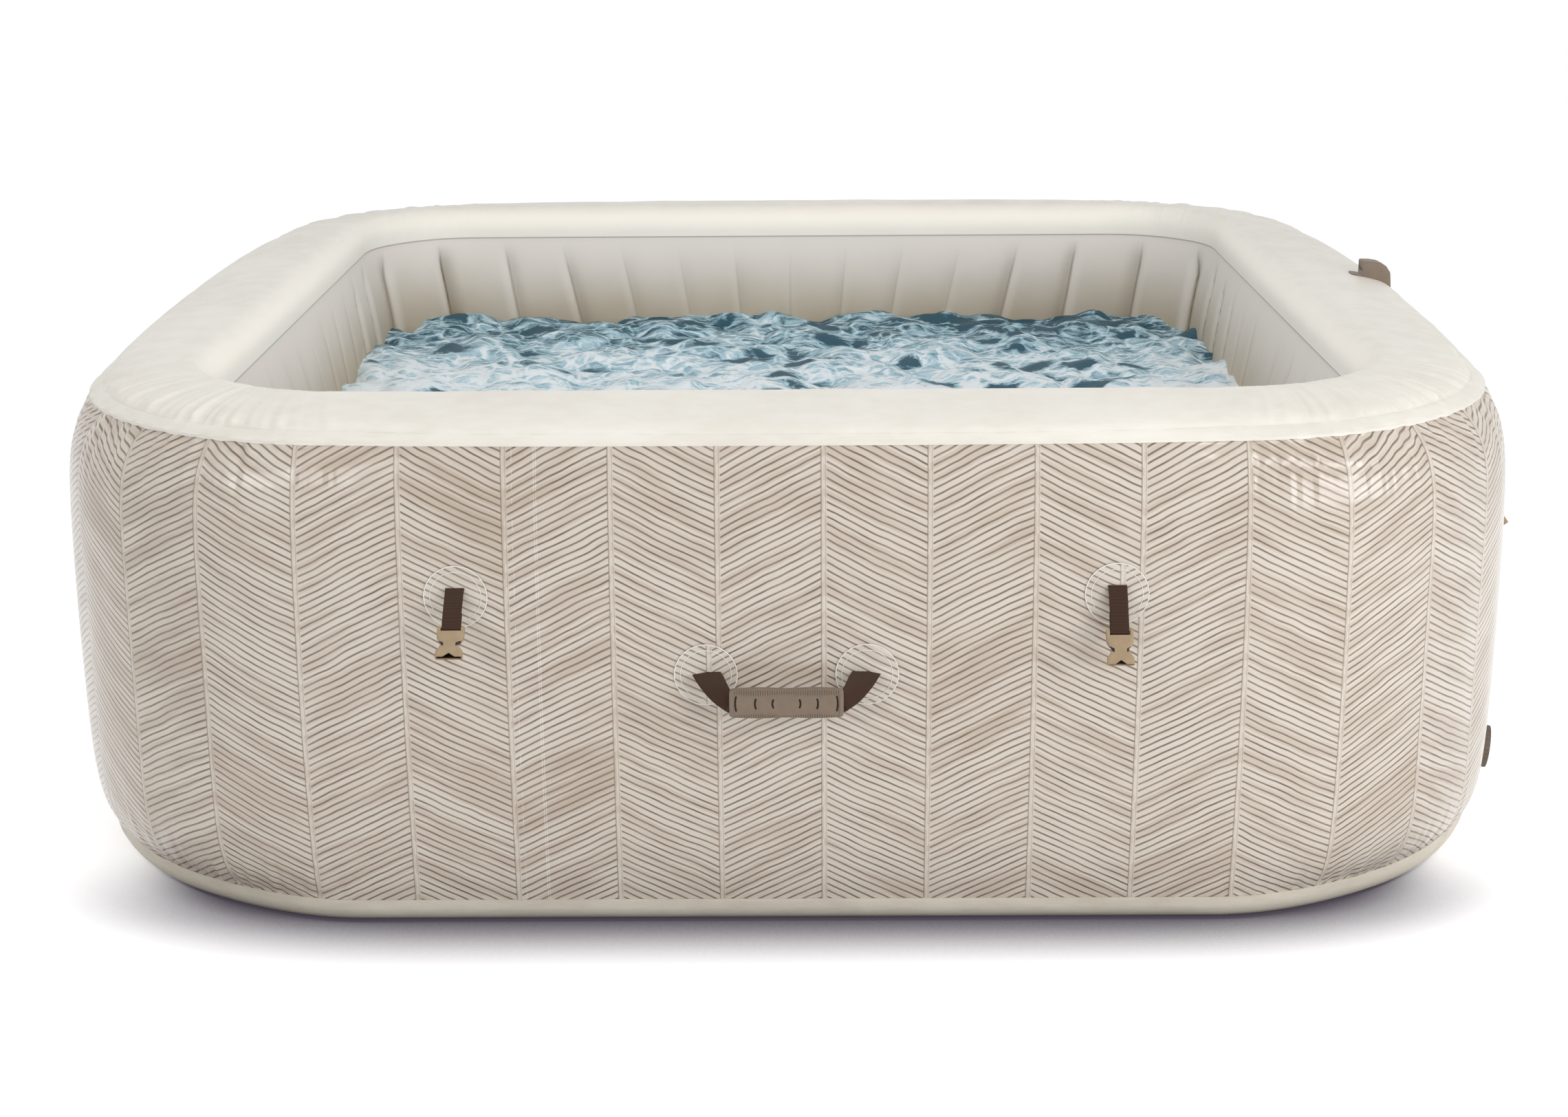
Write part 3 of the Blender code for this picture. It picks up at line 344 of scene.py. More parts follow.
class Plan:
    """Columns round the core: foot points, outward directions, arc lengths along the wall and along the
    pool, and three measures of the corner: bend and reach, which begin before it, and belly, which is 1
    over most of it."""

    def __init__(self, side_step, corner_step):
        n_side = round(2 * CORE_HALF / side_step)
        n_corner = round(math.pi / 2 * MEAN_RADIUS / corner_step)
        along = np.linspace(-CORE_HALF, CORE_HALF, n_side + 1)
        angle = np.linspace(0, math.pi / 2, n_corner + 1)[1:-1]
        foot_x = np.r_[along, np.full(angle.size, CORE_HALF)]
        out_x = np.r_[np.zeros(along.size), np.sin(angle)]
        out_y = np.r_[-np.ones(along.size), -np.cos(angle)]
        arc = np.r_[along + CORE_HALF, 2 * CORE_HALF + angle * MEAN_RADIUS]
        from_end = np.r_[CORE_HALF - np.abs(along), np.zeros(angle.size)]
        before = BEND_START * np.exp(-from_end[: along.size] / BEND_REACH)
        bend = np.r_[before, BEND_START + (1 - BEND_START) * np.sin(2 * angle)]
        belly = np.r_[np.zeros(along.size), 1 - np.cos(2 * angle) ** 4]
        reach = np.exp(-from_end / PULL_REACH)
        turns = np.arange(4)[:, None] * math.pi / 2
        cos, sin = np.cos(turns), np.sin(turns)
        foot = np.stack([foot_x * cos + CORE_HALF * sin, foot_x * sin - CORE_HALF * cos], -1)
        out = np.stack([out_x * cos - out_y * sin, out_x * sin + out_y * cos], -1)
        self.foot, self.out = foot.reshape(-1, 2), out.reshape(-1, 2)
        inside = np.r_[along + CORE_HALF, 2 * CORE_HALF + angle * POOL_RADIUS]
        self.arc = (arc[None, :] + np.arange(4)[:, None] * ROUND / 4).reshape(-1)
        self.inside = (inside[None, :] + np.arange(4)[:, None] * POOL_ROUND / 4).reshape(-1)
        self.bend = np.tile(bend, 4)
        self.belly = np.tile(belly, 4)
        self.reach = np.tile(reach, 4)
        self.count = self.arc.size

    def at(self, half, height):
        """Points at half-sizes and heights, one row of the grid for each column."""
        flat = self.foot[:, None, :] + self.out[:, None, :] * (half - CORE_HALF)[..., None]
        return np.concatenate([flat, np.broadcast_to(height, half.shape)[..., None]], axis=-1)


def folds(arc, waves, seed):
    """A gathered edge: sines of several lengths in metres round the tub, with fixed phases, between -1 and
    1."""
    draw = np.random.default_rng(seed)
    total = np.zeros_like(arc)
    for wave in waves:
        cycles = round(ROUND / wave)
        total += np.sin(2 * math.pi * cycles * arc / ROUND + draw.uniform(0, 2 * math.pi))
    return total / len(waves)


def skin(name, plan, profile, relief, material, shift=0.0, around=None):
    """Carries a profile of half-sizes and heights round the plan, pushed out by relief along its normal and
    moved by shift, with a hidden side at the skin's thickness behind it. The lay runs from 0 to 1 round the
    plan, and in metres along the profile."""
    run = unit(np.gradient(profile, axis=0))
    normal = np.stack([run[:, 1], -run[:, 0]], -1)
    shown = profile[None] + normal[None] * relief[..., None] + shift
    hidden = shown - normal[None] * SKIN
    section = np.concatenate([shown, hidden[:, ::-1]], axis=1)
    points = plan.at(section[..., 0], section[..., 1])
    length = travelled(profile)
    across = np.r_[length, length[::-1], length[:1]]
    around = np.r_[plan.arc / ROUND if around is None else around, 1.0]
    uv = np.stack(np.meshgrid(around, across, indexing="ij"), -1)
    return surface(name, points, material, uv=uv)


fine = Plan(0.024, 0.0032)
coarse = Plan(0.040, 0.012)
print("columns:", fine.count, coarse.count, "round the wall:", round(ROUND, 3), "m")

# %% [markdown]
# ## The printed vinyl
# The outer skin carries a herringbone: upright columns of slanting strokes like the veins of a leaf, with a
# pale strip between columns. An image would blur close up, so the strokes are a formula. The place along
# the wall tells the column and the place in it, the height plus or minus a slope gives the stroke's phase,
# and a little noise makes the strokes look drawn by hand. A browner wash comes and goes behind them.

# %% Herringbone print
COLUMN = 0.140
COLUMN_START = 0.3547
STROKE_PITCH = 0.0103
STROKE_SLOPE = 0.53
STROKE_CURVE = 0.20
STRIP = 0.0058
DOUBLE_WELD = 0.0014
SHEET_JOINTS = ((0.2260, 0), (0.2564, 1), (ROUND / 2 + COLUMN_START, 1))


def print_pattern(finish):
    """Colour, stroke mask and grain of the herringbone, from the lay of the wall in metres. The sheet's
    ends meet at the back, where the count of columns breaks off."""
    across, up = finish.lay.parts()
    arc = (across * ROUND - COLUMN_START + ROUND / 2) % ROUND - ROUND / 2
    cell = arc / COLUMN
    column = cell.floor()
    into = (cell - column) * COLUMN
    lean = 2 * (column % 2) - 1
    drift = finish.place.noise(14.0, 2.0) - 0.5
    rise = into * STROKE_SLOPE - into * into * STROKE_CURVE
    phase = (up - rise * lean) / STROKE_PITCH + drift * 0.7
    part = phase % 1.0
    stroke = part.step(0.25, 0.40) * (1 - part.step(0.53, 0.61))
    near, far = into - STRIP / 2, COLUMN - into - STRIP / 2
    uneven = finish.place.noise(26.0, 3.0)
    stroke = stroke * near.step(0.0008, 0.0022) * far.step(0.0, 0.0008) * (0.62 + 0.55 * uneven)
    edge = (1 - abs(far).step(0.0003, 0.0014)) * 0.62 + (1 - abs(near).step(0.0002, 0.0009)) * 0.34
    bands = finish.place.node("CombineXYZ", None, {0: phase * 0.052, 1: into * 1.8, 2: column * 4.7})
    gaps = finish.place.node("CombineXYZ", None, {0: phase.floor() * 0.61, 1: into * 7.0, 2: column * 2.3})
    wash = bands.noise(1.0, 3.0, 0.6).step(0.46, 0.72) * 0.44
    wash = wash + gaps.noise(1.0, 2.0).step(0.40, 0.64) * 0.55
    vellum = wash.mix(tint(214, 205, 192), tint(181, 165, 147))
    mottle = finish.place.noise(260.0, 3.0, 0.7)
    vellum = (mottle * 0.26).mix(vellum, tint(186, 174, 160))
    ink = uneven.mix(tint(128, 107, 90), tint(98, 79, 65))
    colour = (stroke * near.step(0.0, 0.0004)).mix(vellum, ink)
    colour = edge.mix(colour, ink)
    return colour, stroke, mottle


def make_printed_vinyl():
    """Satin vinyl under a clear coat, its strokes pressed in a little. Where two sheets meet there is a
    pale broken weld line, single or double."""
    finish = Finish("printed_vinyl", Specular_IOR_Level=0.40, Coat_Weight=0.75, Coat_Roughness=0.12)
    colour, stroke, mottle = print_pattern(finish)
    across = finish.lay.parts()[0]
    dashes = finish.place.stretch(0.0, 0.0, 1.0).noise(55.0, 2.0)
    for joint, double in SHEET_JOINTS:
        off = abs(across * ROUND - joint)
        line = 1 - abs(off - DOUBLE_WELD * double).step(0.0002, 0.0007)
        line = line * (dashes + 0.08 * double).step(0.46, 0.58)
        colour = (line * 0.38).mix(colour, tint(250, 248, 244))
    sheen = 0.36 + 0.16 * finish.place.noise(30.0, 3.0)
    normal = finish.relief(mottle * 0.25 - stroke, 0.0006)
    return finish.wear(Base_Color=colour, Roughness=sheen, Normal=normal)


printed_vinyl = make_printed_vinyl()
print("print columns:", round(ROUND / COLUMN, 1), "of", round(COLUMN * 1000), "mm")

# %% [markdown]
# ## The printed wall
# Air pushes the wall into a long shallow bow between the rim seam and the foot. At the corners the flat
# sheet has to take a shorter path along its two welds, so it gathers into small folds that fade out within
# a hand's width. Webs inside hold the wall every so often, which leaves a faint swell between them.


# %% Outer wall
WALL_HEM, WALL_LAP, WALL_ROWS = 0.010, 0.0035, 38
CORNER_BOW = 0.006
TUCK_DEPTH, TUCK_DRAW, STREAK_DEPTH = 0.0052, 0.0020, 0.00060
SWELLS, SWELL_DEPTH, LUMP_DEPTH = 56, 0.0008, 0.0016


def crowd(low, high, count):
    """Heights from low to high, closer together near both ends."""
    share = np.linspace(0, 1, count)
    return low + (high - low) * (share - 0.14 * np.sin(2 * math.pi * share))


def wall_half(height):
    """Half-size of the wall: a parabola, widest half-way up."""
    middle, reach = (BAND_HEIGHT + RIM_SEAM) / 2, (RIM_SEAM - BAND_HEIGHT) / 2
    return WALL_HALF - WALL_BULGE * ((height - middle) / reach) ** 2


def seam_pull(plan):
    """How far the rim's weld draws the wall in: a little along a side, and more towards a corner."""
    return SEAM_TUCK + SEAM_PULL * plan.reach


def corner_bow(plan, height):
    """Extra bow: round a corner it makes up for the parabola, so that the corner is upright half-way, and
    everywhere an eighth power turns the sheet in at both welds."""
    away = 2 * ramp(height - BAND_HEIGHT, RIM_SEAM - BAND_HEIGHT) - 1
    belly = plan.belly[:, None]
    weld = np.where(away > 0, seam_pull(plan)[:, None], FOOT_PULL * belly)
    return belly * (CORNER_BOW + WALL_BULGE * away**2) - (belly * (CORNER_BOW + WALL_BULGE) + weld) * away**8


def make_outer_wall():
    """The bowed sheet: tucks at both welds round the corners, thin streaks below the upper ones, and a
    faint swell between the webs inside."""
    heights = crowd(BAND_HEIGHT - WALL_HEM, RIM_SEAM + WALL_LAP, WALL_ROWS)
    profile = np.stack([wall_half(heights), heights], -1)
    bend = fine.bend[:, None]
    below, above = RIM_SEAM - heights, heights - BAND_HEIGHT
    top = fading(np.abs(below), 0.030) * ramp(below + 0.001, 0.006)
    foot = fading(np.abs(above), 0.032) * ramp(above + 0.001, 0.006)
    tucks_top = folds(fine.arc, (0.0230, 0.0330, 0.0490), 3)[:, None]
    tucks_foot = folds(fine.arc, (0.0190, 0.0290, 0.0440), 8)[:, None]
    relief = TUCK_DEPTH * bend**1.4 * (tucks_top * top + tucks_foot * foot)
    relief -= TUCK_DRAW * bend * (top + foot)
    streaks = folds(fine.arc, (0.0130, 0.0180, 0.0270), 41)[:, None]
    relief += STREAK_DEPTH * fine.reach[:, None] * streaks * hump(below - 0.045, 0.034)
    swell = 0.5 * np.cos(2 * math.pi * SWELLS * fine.arc / ROUND)[:, None] - 0.5
    lumps = folds(fine.arc, (0.120, 0.190), 44)[:, None]
    between = np.sin(math.pi * ramp(above, RIM_SEAM - BAND_HEIGHT))
    relief += (SWELL_DEPTH * swell + LUMP_DEPTH * bend * lumps) * between
    shift = np.stack([corner_bow(fine, heights), 0 * relief], -1)
    return skin("printed_wall", fine, profile, relief, printed_vinyl, shift=shift)


dress(make_outer_wall(), "tub", "printed_vinyl", "outer_wall")

# %% [markdown]
# ## The cream rim and the foot band
# The rim is an arch of plain cream vinyl, welded over the printed skin outside and down to the pool skin
# inside. Its section is two quarter ellipses. Round each corner it wrinkles: folds run up from the outer
# weld towards the crown and fade. A weld line shows a finger's breadth above the edge.


# %% Cream vinyl
RIM_WELD = 0.0150


def make_cream_vinyl(name, light, shade, weld=None):
    """Plain vinyl: a soft change of tone, faint streaks along the sheet and a fine grain. A rim has a thin
    weld line at a distance from its edge, and its lap over the pool is painted paler, as painted light
    against the shade that falls there."""
    finish = Finish(name, Specular_IOR_Level=0.45)
    cloud = finish.place.noise(3.1, 3.0, 0.55)
    streak = finish.place.stretch(1.0, 1.0, 5.0).noise(22.0, 4.0, 0.6)
    tone = (cloud * 0.6 + streak * 0.5).step(0.35, 0.80)
    grain = finish.place.noise(420.0, 2.0)
    colour = tone.mix(light, shade)
    if weld:
        up = finish.lay.parts()[1]
        line = (1 - abs(up - weld).step(0.0003, 0.0013)) * streak.step(0.35, 0.60)
        colour = (line * 0.20).mix(colour, tint(190, 184, 172))
        # painted light: the inner lap over the pool is lightened against the shade it lies in
        colour = up.step(0.180, 0.235).mix(colour, tint(254, 248, 237))
    normal = finish.relief(grain * 0.4 + streak, 0.0003)
    return finish.wear(Base_Color=colour, Roughness=0.34 + 0.18 * streak, Normal=normal)


cream_vinyl = make_cream_vinyl("cream_vinyl", tint(235, 231, 222), tint(224, 219, 208), weld=RIM_WELD)
band_vinyl = make_cream_vinyl("band_vinyl", tint(217, 210, 195), tint(200, 192, 176))


# %% Rim
CREASE_HIGH, CREASE_FAN, THIN_HIGH, LUMP_HIGH = 0.0075, 0.30, 0.0026, 0.0007
GROOVE, GROOVE_WIDTH = 0.0005, 0.0022
SIDE_SLOPE, CORNER_SLOPE = 0.003, 0.018
SCALLOP, DOCK_SEAT = 0.0013, 0.14


def rim_profile():
    """Up the outer lap, over two quarter ellipses and down the inner lap."""
    edge = wall_half(RIM_SEAM) + FIT + SKIN
    low_out, low_in = RIM_SEAM + LAP, INNER_SEAM + LAP
    out = np.linspace(0, math.pi / 2, 24)
    back = np.linspace(0, math.pi / 2, 12)[1:]
    lap = np.array([[edge, RIM_SEAM], [edge, RIM_SEAM + 0.004], [edge, RIM_SEAM + 0.008]])
    half_out = CROWN_HALF + (edge - CROWN_HALF) * np.cos(out)
    half_in = CROWN_HALF - (CROWN_HALF - INNER_HALF) * np.sin(back)
    outer = np.stack([half_out, low_out + (TOP - low_out) * np.sin(out)], -1)
    inner = np.stack([half_in, low_in + (TOP - low_in) * np.cos(back)], -1)
    tail = np.array([[INNER_HALF, INNER_SEAM + 0.006], [INNER_HALF, INNER_SEAM]])
    return np.concatenate([lap, outer, inner, tail])


dock_low, dock_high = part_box("rim_dock")
DOCK_ARC = 2 * CORE_HALF + math.pi / 2 * MEAN_RADIUS + (dock_low[1] + dock_high[1]) / 2 + CORE_HALF


def room_share(height):
    """Share of the corner's room at a height: all of it at the rim, none at its foot and below."""
    return ramp(height - ROOM_FOOT, INNER_SEAM - ROOM_FOOT)


def corner_room(plan, height):
    """How far the pool's corner reaches out beyond its quarter circle."""
    return CORNER_ROOM * plan.belly[:, None] * room_share(height)


def make_rim():
    """The arch with its corner folds, which lean apart like a fan, thin folds in patches among them, a
    groove along the weld and a wavy edge. Round the corners it slopes down to its weld; at the dock it
    keeps the moulded seat."""
    profile = rim_profile()
    length = travelled(profile)
    bend = fine.bend[:, None]
    fan = np.sin(8 * math.pi * (fine.arc - 2 * CORE_HALF - math.pi / 4 * MEAN_RADIUS) / ROUND)[:, None]
    slant = fine.arc[:, None] + CREASE_FAN * fan * length[None, :]
    start = ramp(length - 0.010, 0.014)
    creases = np.clip(folds(slant, (0.027, 0.039, 0.061, 0.095), 5), -0.35, 1.0) - 0.1
    relief = CREASE_HIGH * bend**2 * (start * fading(length - 0.022, 0.075)) * creases
    patches = np.clip(0.35 + folds(slant, (0.23, 0.37), 61), 0, 1)
    thin = np.clip(folds(slant, (0.0150, 0.0210, 0.0310), 67), -0.3, 1.0)
    rise = start * fading(length - 0.030, 0.110) * ramp(0.20 - length, 0.06)
    relief += THIN_HIGH * bend**2 * patches * rise * thin
    ends = ramp(length, 0.03) * ramp(length[-1] - length, 0.03)
    relief += LUMP_HIGH * folds(slant, (0.13, 0.19, 0.31), 12) * ends
    relief -= GROOVE * hump(length - RIM_WELD, GROOVE_WIDTH)[None, :]
    relief *= ramp(length, 0.005)
    outer = ramp(profile[:, 0] - CROWN_HALF, profile[0, 0] - CROWN_HALF)
    inner = ramp(CROWN_HALF - profile[:, 0], CROWN_HALF - INNER_HALF)
    clear = 1 - np.exp(-(((fine.arc - DOCK_ARC) / DOCK_SEAT) ** 4))
    slope = ((SIDE_SLOPE + CORNER_SLOPE * fine.reach) * clear)[:, None]
    slope = slope * ramp(length - 0.004, 0.012) * outer**0.5
    pull = seam_pull(fine)[:, None] * outer + slope - corner_room(fine, INNER_SEAM) * inner
    waves = folds(fine.arc, (0.031, 0.047, 0.070), 52)[:, None]
    scallop = SCALLOP * bend * waves * fading(length, 0.008)
    shift = np.stack([-pull, scallop + 0 * pull], -1)
    return skin("cream_rim", fine, profile, relief, cream_vinyl, shift=shift)


dress(make_rim(), "tub", "cream_vinyl", "rim")


# %% Foot band
BAND_TUCK, BAND_HEM = 0.020, 0.018


def make_band():
    """A hem under the tub, a quarter ellipse at the edge and a lap up over the print."""
    side = wall_half(BAND_HEIGHT) + FIT + SKIN
    rise, bottom = BAND_HEIGHT - LAP, side - BAND_TUCK
    turn = np.linspace(-math.pi / 2, 0, 14)
    hem = np.stack([np.linspace(INNER_HALF + BAND_HEM, bottom, 6)[:-1], np.zeros(5)], -1)
    edge = np.stack([bottom + BAND_TUCK * np.cos(turn), rise + rise * np.sin(turn)], -1)
    lap = np.array([[side, BAND_HEIGHT - 0.006], [side, BAND_HEIGHT]])
    profile = np.concatenate([hem, edge, lap])
    gather = folds(coarse.arc, (0.060, 0.090), 21)[:, None]
    relief = 0.0006 * gather * coarse.bend[:, None] * ramp(profile[:, 1], 0.02)
    outer = ramp(profile[:, 0] - profile[0, 0], bottom - profile[0, 0])
    pull = FOOT_PULL * coarse.belly[:, None] * outer
    return skin("foot_band", coarse, profile, relief, band_vinyl, shift=np.stack([-pull, 0 * pull], -1))


dress(make_band(), "tub", "cream_vinyl", "base_band")

# %% [markdown]
# ## The pool skin
# Towards the pool the wall is drawn back along upright weld lines, where the inner webs are fixed, so it
# swells into soft pillows. The pillows are deepest near the corners. The curve between two lines is a power
# of a sine, which is round in the middle and sharp at the line, like a quilt.


# %% Creases of the pool skin
PILLOWS = 52
CREASE_LEAN = 0.25
CREASE_MEAN, CREASE_SPREAD, CREASE_DRAW = 0.76, 0.24, 2.4
SIDE_CREASE, CORNER_CREASE = 0.004, 0.014
POOL_WELD = 0.012
SIDE_MIDDLE = 4 * CORE_HALF / POOL_ROUND
WATER_LEVEL = 0.490


def make_greige_vinyl():
    """The pool's skin: warmer and darker further down, with a thin dark line under the rim's weld, partly
    the seam and partly painted shade in the gap under the rim's edge. Each crease gets a painted dark line
    and a painted soft shadow on the side towards the middle of its wall, and a painted highlight on its
    other side; the numbers are those of pillows()."""
    finish = Finish("greige_vinyl", Specular_IOR_Level=0.35)
    around, down = finish.lay.parts()
    height = finish.place.node("SeparateXYZ", None, {0: finish.place}, output=2)
    cloud = finish.place.noise(5.0, 3.0)
    deep = (down + 0.06 * cloud).step(0.05, 0.25)
    colour = deep.mix(tint(229, 222, 214), tint(177, 163, 140))
    # a thin dark line just under the rim's edge: partly the seam, partly painted shade in the gap under the
    # rim
    line = 1 - abs(down - POOL_WELD).step(0.0005, 0.0018)
    colour = (line * 0.40).mix(colour, tint(120, 112, 104))
    slope = finish.place.math("SINE", around * (8 * math.pi) - 2 * math.pi * SIDE_MIDDLE)
    turn = (around + (INNER_SEAM - height) * slope * (CREASE_LEAN / POOL_ROUND)) * PILLOWS
    number = (turn + 0.5).floor()
    lee = (number - turn) * finish.place.math("SIGN", slope)
    strength = CREASE_MEAN + CREASE_SPREAD * finish.place.math("SINE", number * CREASE_DRAW)
    # how strong the painted crease shade is, from the crease attribute kept by make_inner_wall()
    crease = finish.place.node("Attribute", {"attribute_name": "crease"}, output=2) * strength
    # painted shadow: a dark line along each crease and a soft shadow on its lee side
    shadow = (1 - abs(lee).step(0.0, 0.030)) * 0.75
    shadow = shadow + lee.step(0.0, 0.008) * (1 - lee.step(0.0, 0.26)) * 0.50
    colour = (crease * shadow).mix(colour, tint(118, 102, 80))
    # painted highlight: a pale ridge on the lit side of each crease
    sunny = 0 - lee
    ridge = sunny.step(0.015, 0.040) * (1 - sunny.step(0.05, 0.20))
    colour = (crease * ridge * 0.35).mix(colour, tint(247, 242, 236))
    grain = finish.place.noise(380.0, 2.0)
    return finish.wear(Base_Color=colour, Roughness=0.42 + 0.2 * cloud, Normal=finish.relief(grain, 0.0002))


greige_vinyl = make_greige_vinyl()


# %% Inner wall
def inner_swell(height):
    """Share of the bulge: 1 half-way down, 0 at the seam and the foot."""
    middle, reach = (INNER_FOOT + INNER_SEAM) / 2, (INNER_SEAM - INNER_FOOT) / 2
    return np.clip(1 - ((height - middle) / reach) ** 2, 0, 1)


def inner_half(height):
    return INNER_HALF + SKIN + FIT - INNER_BULGE * inner_swell(height)


def pillows(plan, height):
    """How far the skin is drawn back at each column and height, and how strong the painted shade of its
    creases is there. A crease leans towards the middle of its wall; it falls off steeply on one side and
    rises slowly on the other."""
    slope = np.sin(8 * math.pi * plan.inside / POOL_ROUND - 2 * math.pi * SIDE_MIDDLE)[:, None]
    turn = PILLOWS * (plan.inside[:, None] + CREASE_LEAN * (INNER_SEAM - height) * slope) / POOL_ROUND
    number = np.floor(turn + 0.5)
    lee = (number - turn) * np.sign(slope)
    strength = CREASE_MEAN + CREASE_SPREAD * np.sin(CREASE_DRAW * number)
    corner = np.clip(plan.reach[:, None] * 1.1, 0, 1)
    start = ramp(INNER_SEAM - POOL_WELD - height, 0.10 - 0.07 * corner)
    fade = start * np.clip(inner_swell(height) * 3.0, 0, 1)
    shape = np.where(lee > 0, np.clip(1 - 2 * lee, 0, 1) ** 2.5, np.clip(1 + 2 * lee, 0, 1) ** 8)
    depth = (SIDE_CREASE + CORNER_CREASE * corner) * shape * fade * strength
    return depth, (0.22 + 0.78 * corner) * fade


pool = Plan(0.008, 0.006)
POOL_HEM = 0.0038


def make_inner_wall():
    """The bulged sheet with its pillows, tucked under the rim and turned under at the foot."""
    heights = INNER_SEAM - (INNER_SEAM - INNER_FOOT) * np.linspace(0, 1, 30) ** 1.2
    edge, foot = inner_half(INNER_SEAM), inner_half(INNER_FOOT)
    top = np.array([[edge, INNER_SEAM + 0.010], [edge, INNER_SEAM + 0.004]])
    hem = np.array([[foot + 0.005, POOL_HEM], [INNER_HALF + 0.028, POOL_HEM]])
    profile = np.concatenate([top, np.stack([inner_half(heights), heights], -1), hem])
    depth, crease = pillows(pool, profile[None, :, 1])
    room = corner_room(pool, profile[None, :, 1])
    shift = np.stack([room, 0 * room], -1)
    around = pool.inside / POOL_ROUND
    wall = skin("pool_wall", pool, profile, -depth, greige_vinyl, shift=shift, around=around)
    # keeps how strong the painted crease shade is, for greige_vinyl to read
    return mark(wall, "crease", np.concatenate([crease, crease[:, ::-1]], axis=1))


dress(make_inner_wall(), "tub", "greige_vinyl", "inner_wall")

# %% [markdown]
# ## The water
# The photograph shows the tub filled, with the jets churning the water into foam. The water is one closed
# body: a ripple surface over rings that follow the pool's outline, and a flat underside. Ripples are sums
# of sines with sharpened crests, in many directions. Foam is white along the ridges between the cells of a
# Voronoi pattern.


# %% Water
WATER_OVER, WATER_DEEP = 0.006, 0.05


def make_water_finish():
    """Teal water: dark rounded hollows, a white net of foam along the ridges between them, and fine
    streaks. Cells of a Voronoi pattern give hollows and ridges, stirred by noise; the back is darker."""
    finish = Finish("churned_water", Specular_IOR_Level=0.18, IOR=1.33)
    y = finish.place.parts()[1]
    wide = finish.place.noise(2.6, 3.0, 0.55)
    source = {"Vector": finish.place, "Scale": 9.0, "Detail": 5.0}
    stir = finish.place.node("TexNoise", None, source, output=1)
    sum_of = {0: stir, 1: (0.11, 0.11, 0.11), 2: finish.place}
    bent = stir.node("VectorMath", {"operation": "MULTIPLY_ADD"}, sum_of)
    flat = bent.stretch(0.66, 1.0, 0.0)
    cell = flat.cells("SMOOTH_F1", 15.0, Smoothness=0.25)
    ridge = flat.cells("DISTANCE_TO_EDGE", 15.0)
    thread = flat.cells("DISTANCE_TO_EDGE", 43.0)
    streak = flat.stretch(0.62, 1.4, 0.0).noise(58.0, 8.0, 0.78)
    hollow = 1 - (cell + 0.9 * (wide - 0.5)).step(0.10, 0.38)
    net = 0.30 * (1 - ridge.step(0.0, 0.13)) + 0.34 * (1 - thread.step(0.0, 0.17))
    tone = 0.69 + 2.8 * (streak - 0.5) + net - 1.05 * hollow
    tone = tone + 0.9 * (wide - 0.5) - 0.70 * y.step(0.05, 0.72)
    colour = tone.step(-0.10, 0.52).mix(tint(56, 94, 110), tint(180, 213, 226))
    foam = tone.step(0.45, 0.92)
    colour = foam.mix(colour, tint(243, 250, 253))
    height = streak * 0.6 + finish.place.noise(130.0, 3.0) * 0.4
    return finish.wear(Base_Color=colour, Roughness=0.24 + 0.4 * foam, Normal=finish.relief(height, 0.006))


def ripples(x, y):
    """Height of the churned surface: sines in many directions, squared off into crests."""
    draw = np.random.default_rng(17)
    total = np.zeros_like(x)
    for wave in (0.26, 0.20, 0.16, 0.138, 0.120, 0.104, 0.090, 0.078, 0.067, 0.058):
        heading, start = draw.uniform(0, 2 * math.pi, 2)
        crest = np.sin(2 * math.pi * (x * math.cos(heading) + y * math.sin(heading)) / wave + start)
        total += 0.021 * wave * (crest + 0.5 * (1 - np.abs(crest)))
    return total


def make_water():
    """The ripple surface over shrinking copies of the pool's outline, and a flat underside."""
    plan = Plan(0.018, 0.012)
    edge = inner_half(WATER_LEVEL) + corner_room(plan, WATER_LEVEL)[:, 0] + WATER_OVER
    outline = plan.foot + plan.out * (edge - CORE_HALF)[:, None]
    share = np.linspace(0, 1, 120) ** 0.8
    flat = outline[:, None, :] * share[None, ::-1, None]
    top = WATER_LEVEL + ripples(flat[..., 0], flat[..., 1])
    shown = np.concatenate([flat, top[..., None]], -1)
    below = outline[:, None, :] * np.array([0.0, 0.5, 0.99])[None, :, None]
    under = np.concatenate([below, np.full((*below.shape[:2], 1), WATER_LEVEL - WATER_DEEP)], -1)
    points = np.concatenate([shown[:, ::-1], under[:, ::-1]], axis=1)
    return surface("water", points, make_water_finish(), wrap=(True, False), weld=True, sharp=80.0)


dress(make_water(), "tub", "clear_vinyl")

# %% [markdown]
# ## Places on the wall
# Every fitting stands in a frame of its own on the wall: X runs along the wall, -Y points outwards along
# the bowed skin, and Z runs up. Shapes are worked out in that frame and then carried to their place, so
# that each finished piece sits at the origin. A strap's frame follows from its two joints: the hinge and
# the buckle's bar.


# %% Frames on the wall
def frame_of(along, inward, up, origin):
    """A frame as a matrix: its three axes as columns, and its origin."""
    matrix = np.eye(4)
    matrix[:3] = np.column_stack([along, inward, up, origin])
    return matrix


def wall_frame(foot, outward, height):
    """The frame at a height on the wall, over a foot point of the core and along a direction outwards."""
    half = wall_half(height)
    slope = (wall_half(height + 1e-5) - wall_half(height - 1e-5)) / 2e-5
    along = np.array([-outward[1], outward[0], 0.0])
    inward = unit(-np.array([outward[0], outward[1], -slope]))
    origin = [*(np.array(foot) + np.array(outward) * (half - CORE_HALF)), height]
    return frame_of(along, inward, np.cross(along, inward), origin)


def side_frame(side, along, height):
    """The frame on one of the four sides, 0 front, 1 right, 2 back, 3 left."""
    cos, sin = (1, 0, -1, 0)[side], (0, 1, 0, -1)[side]
    foot = (along * cos + CORE_HALF * sin, along * sin - CORE_HALF * cos)
    return wall_frame(foot, (sin, -cos), height)


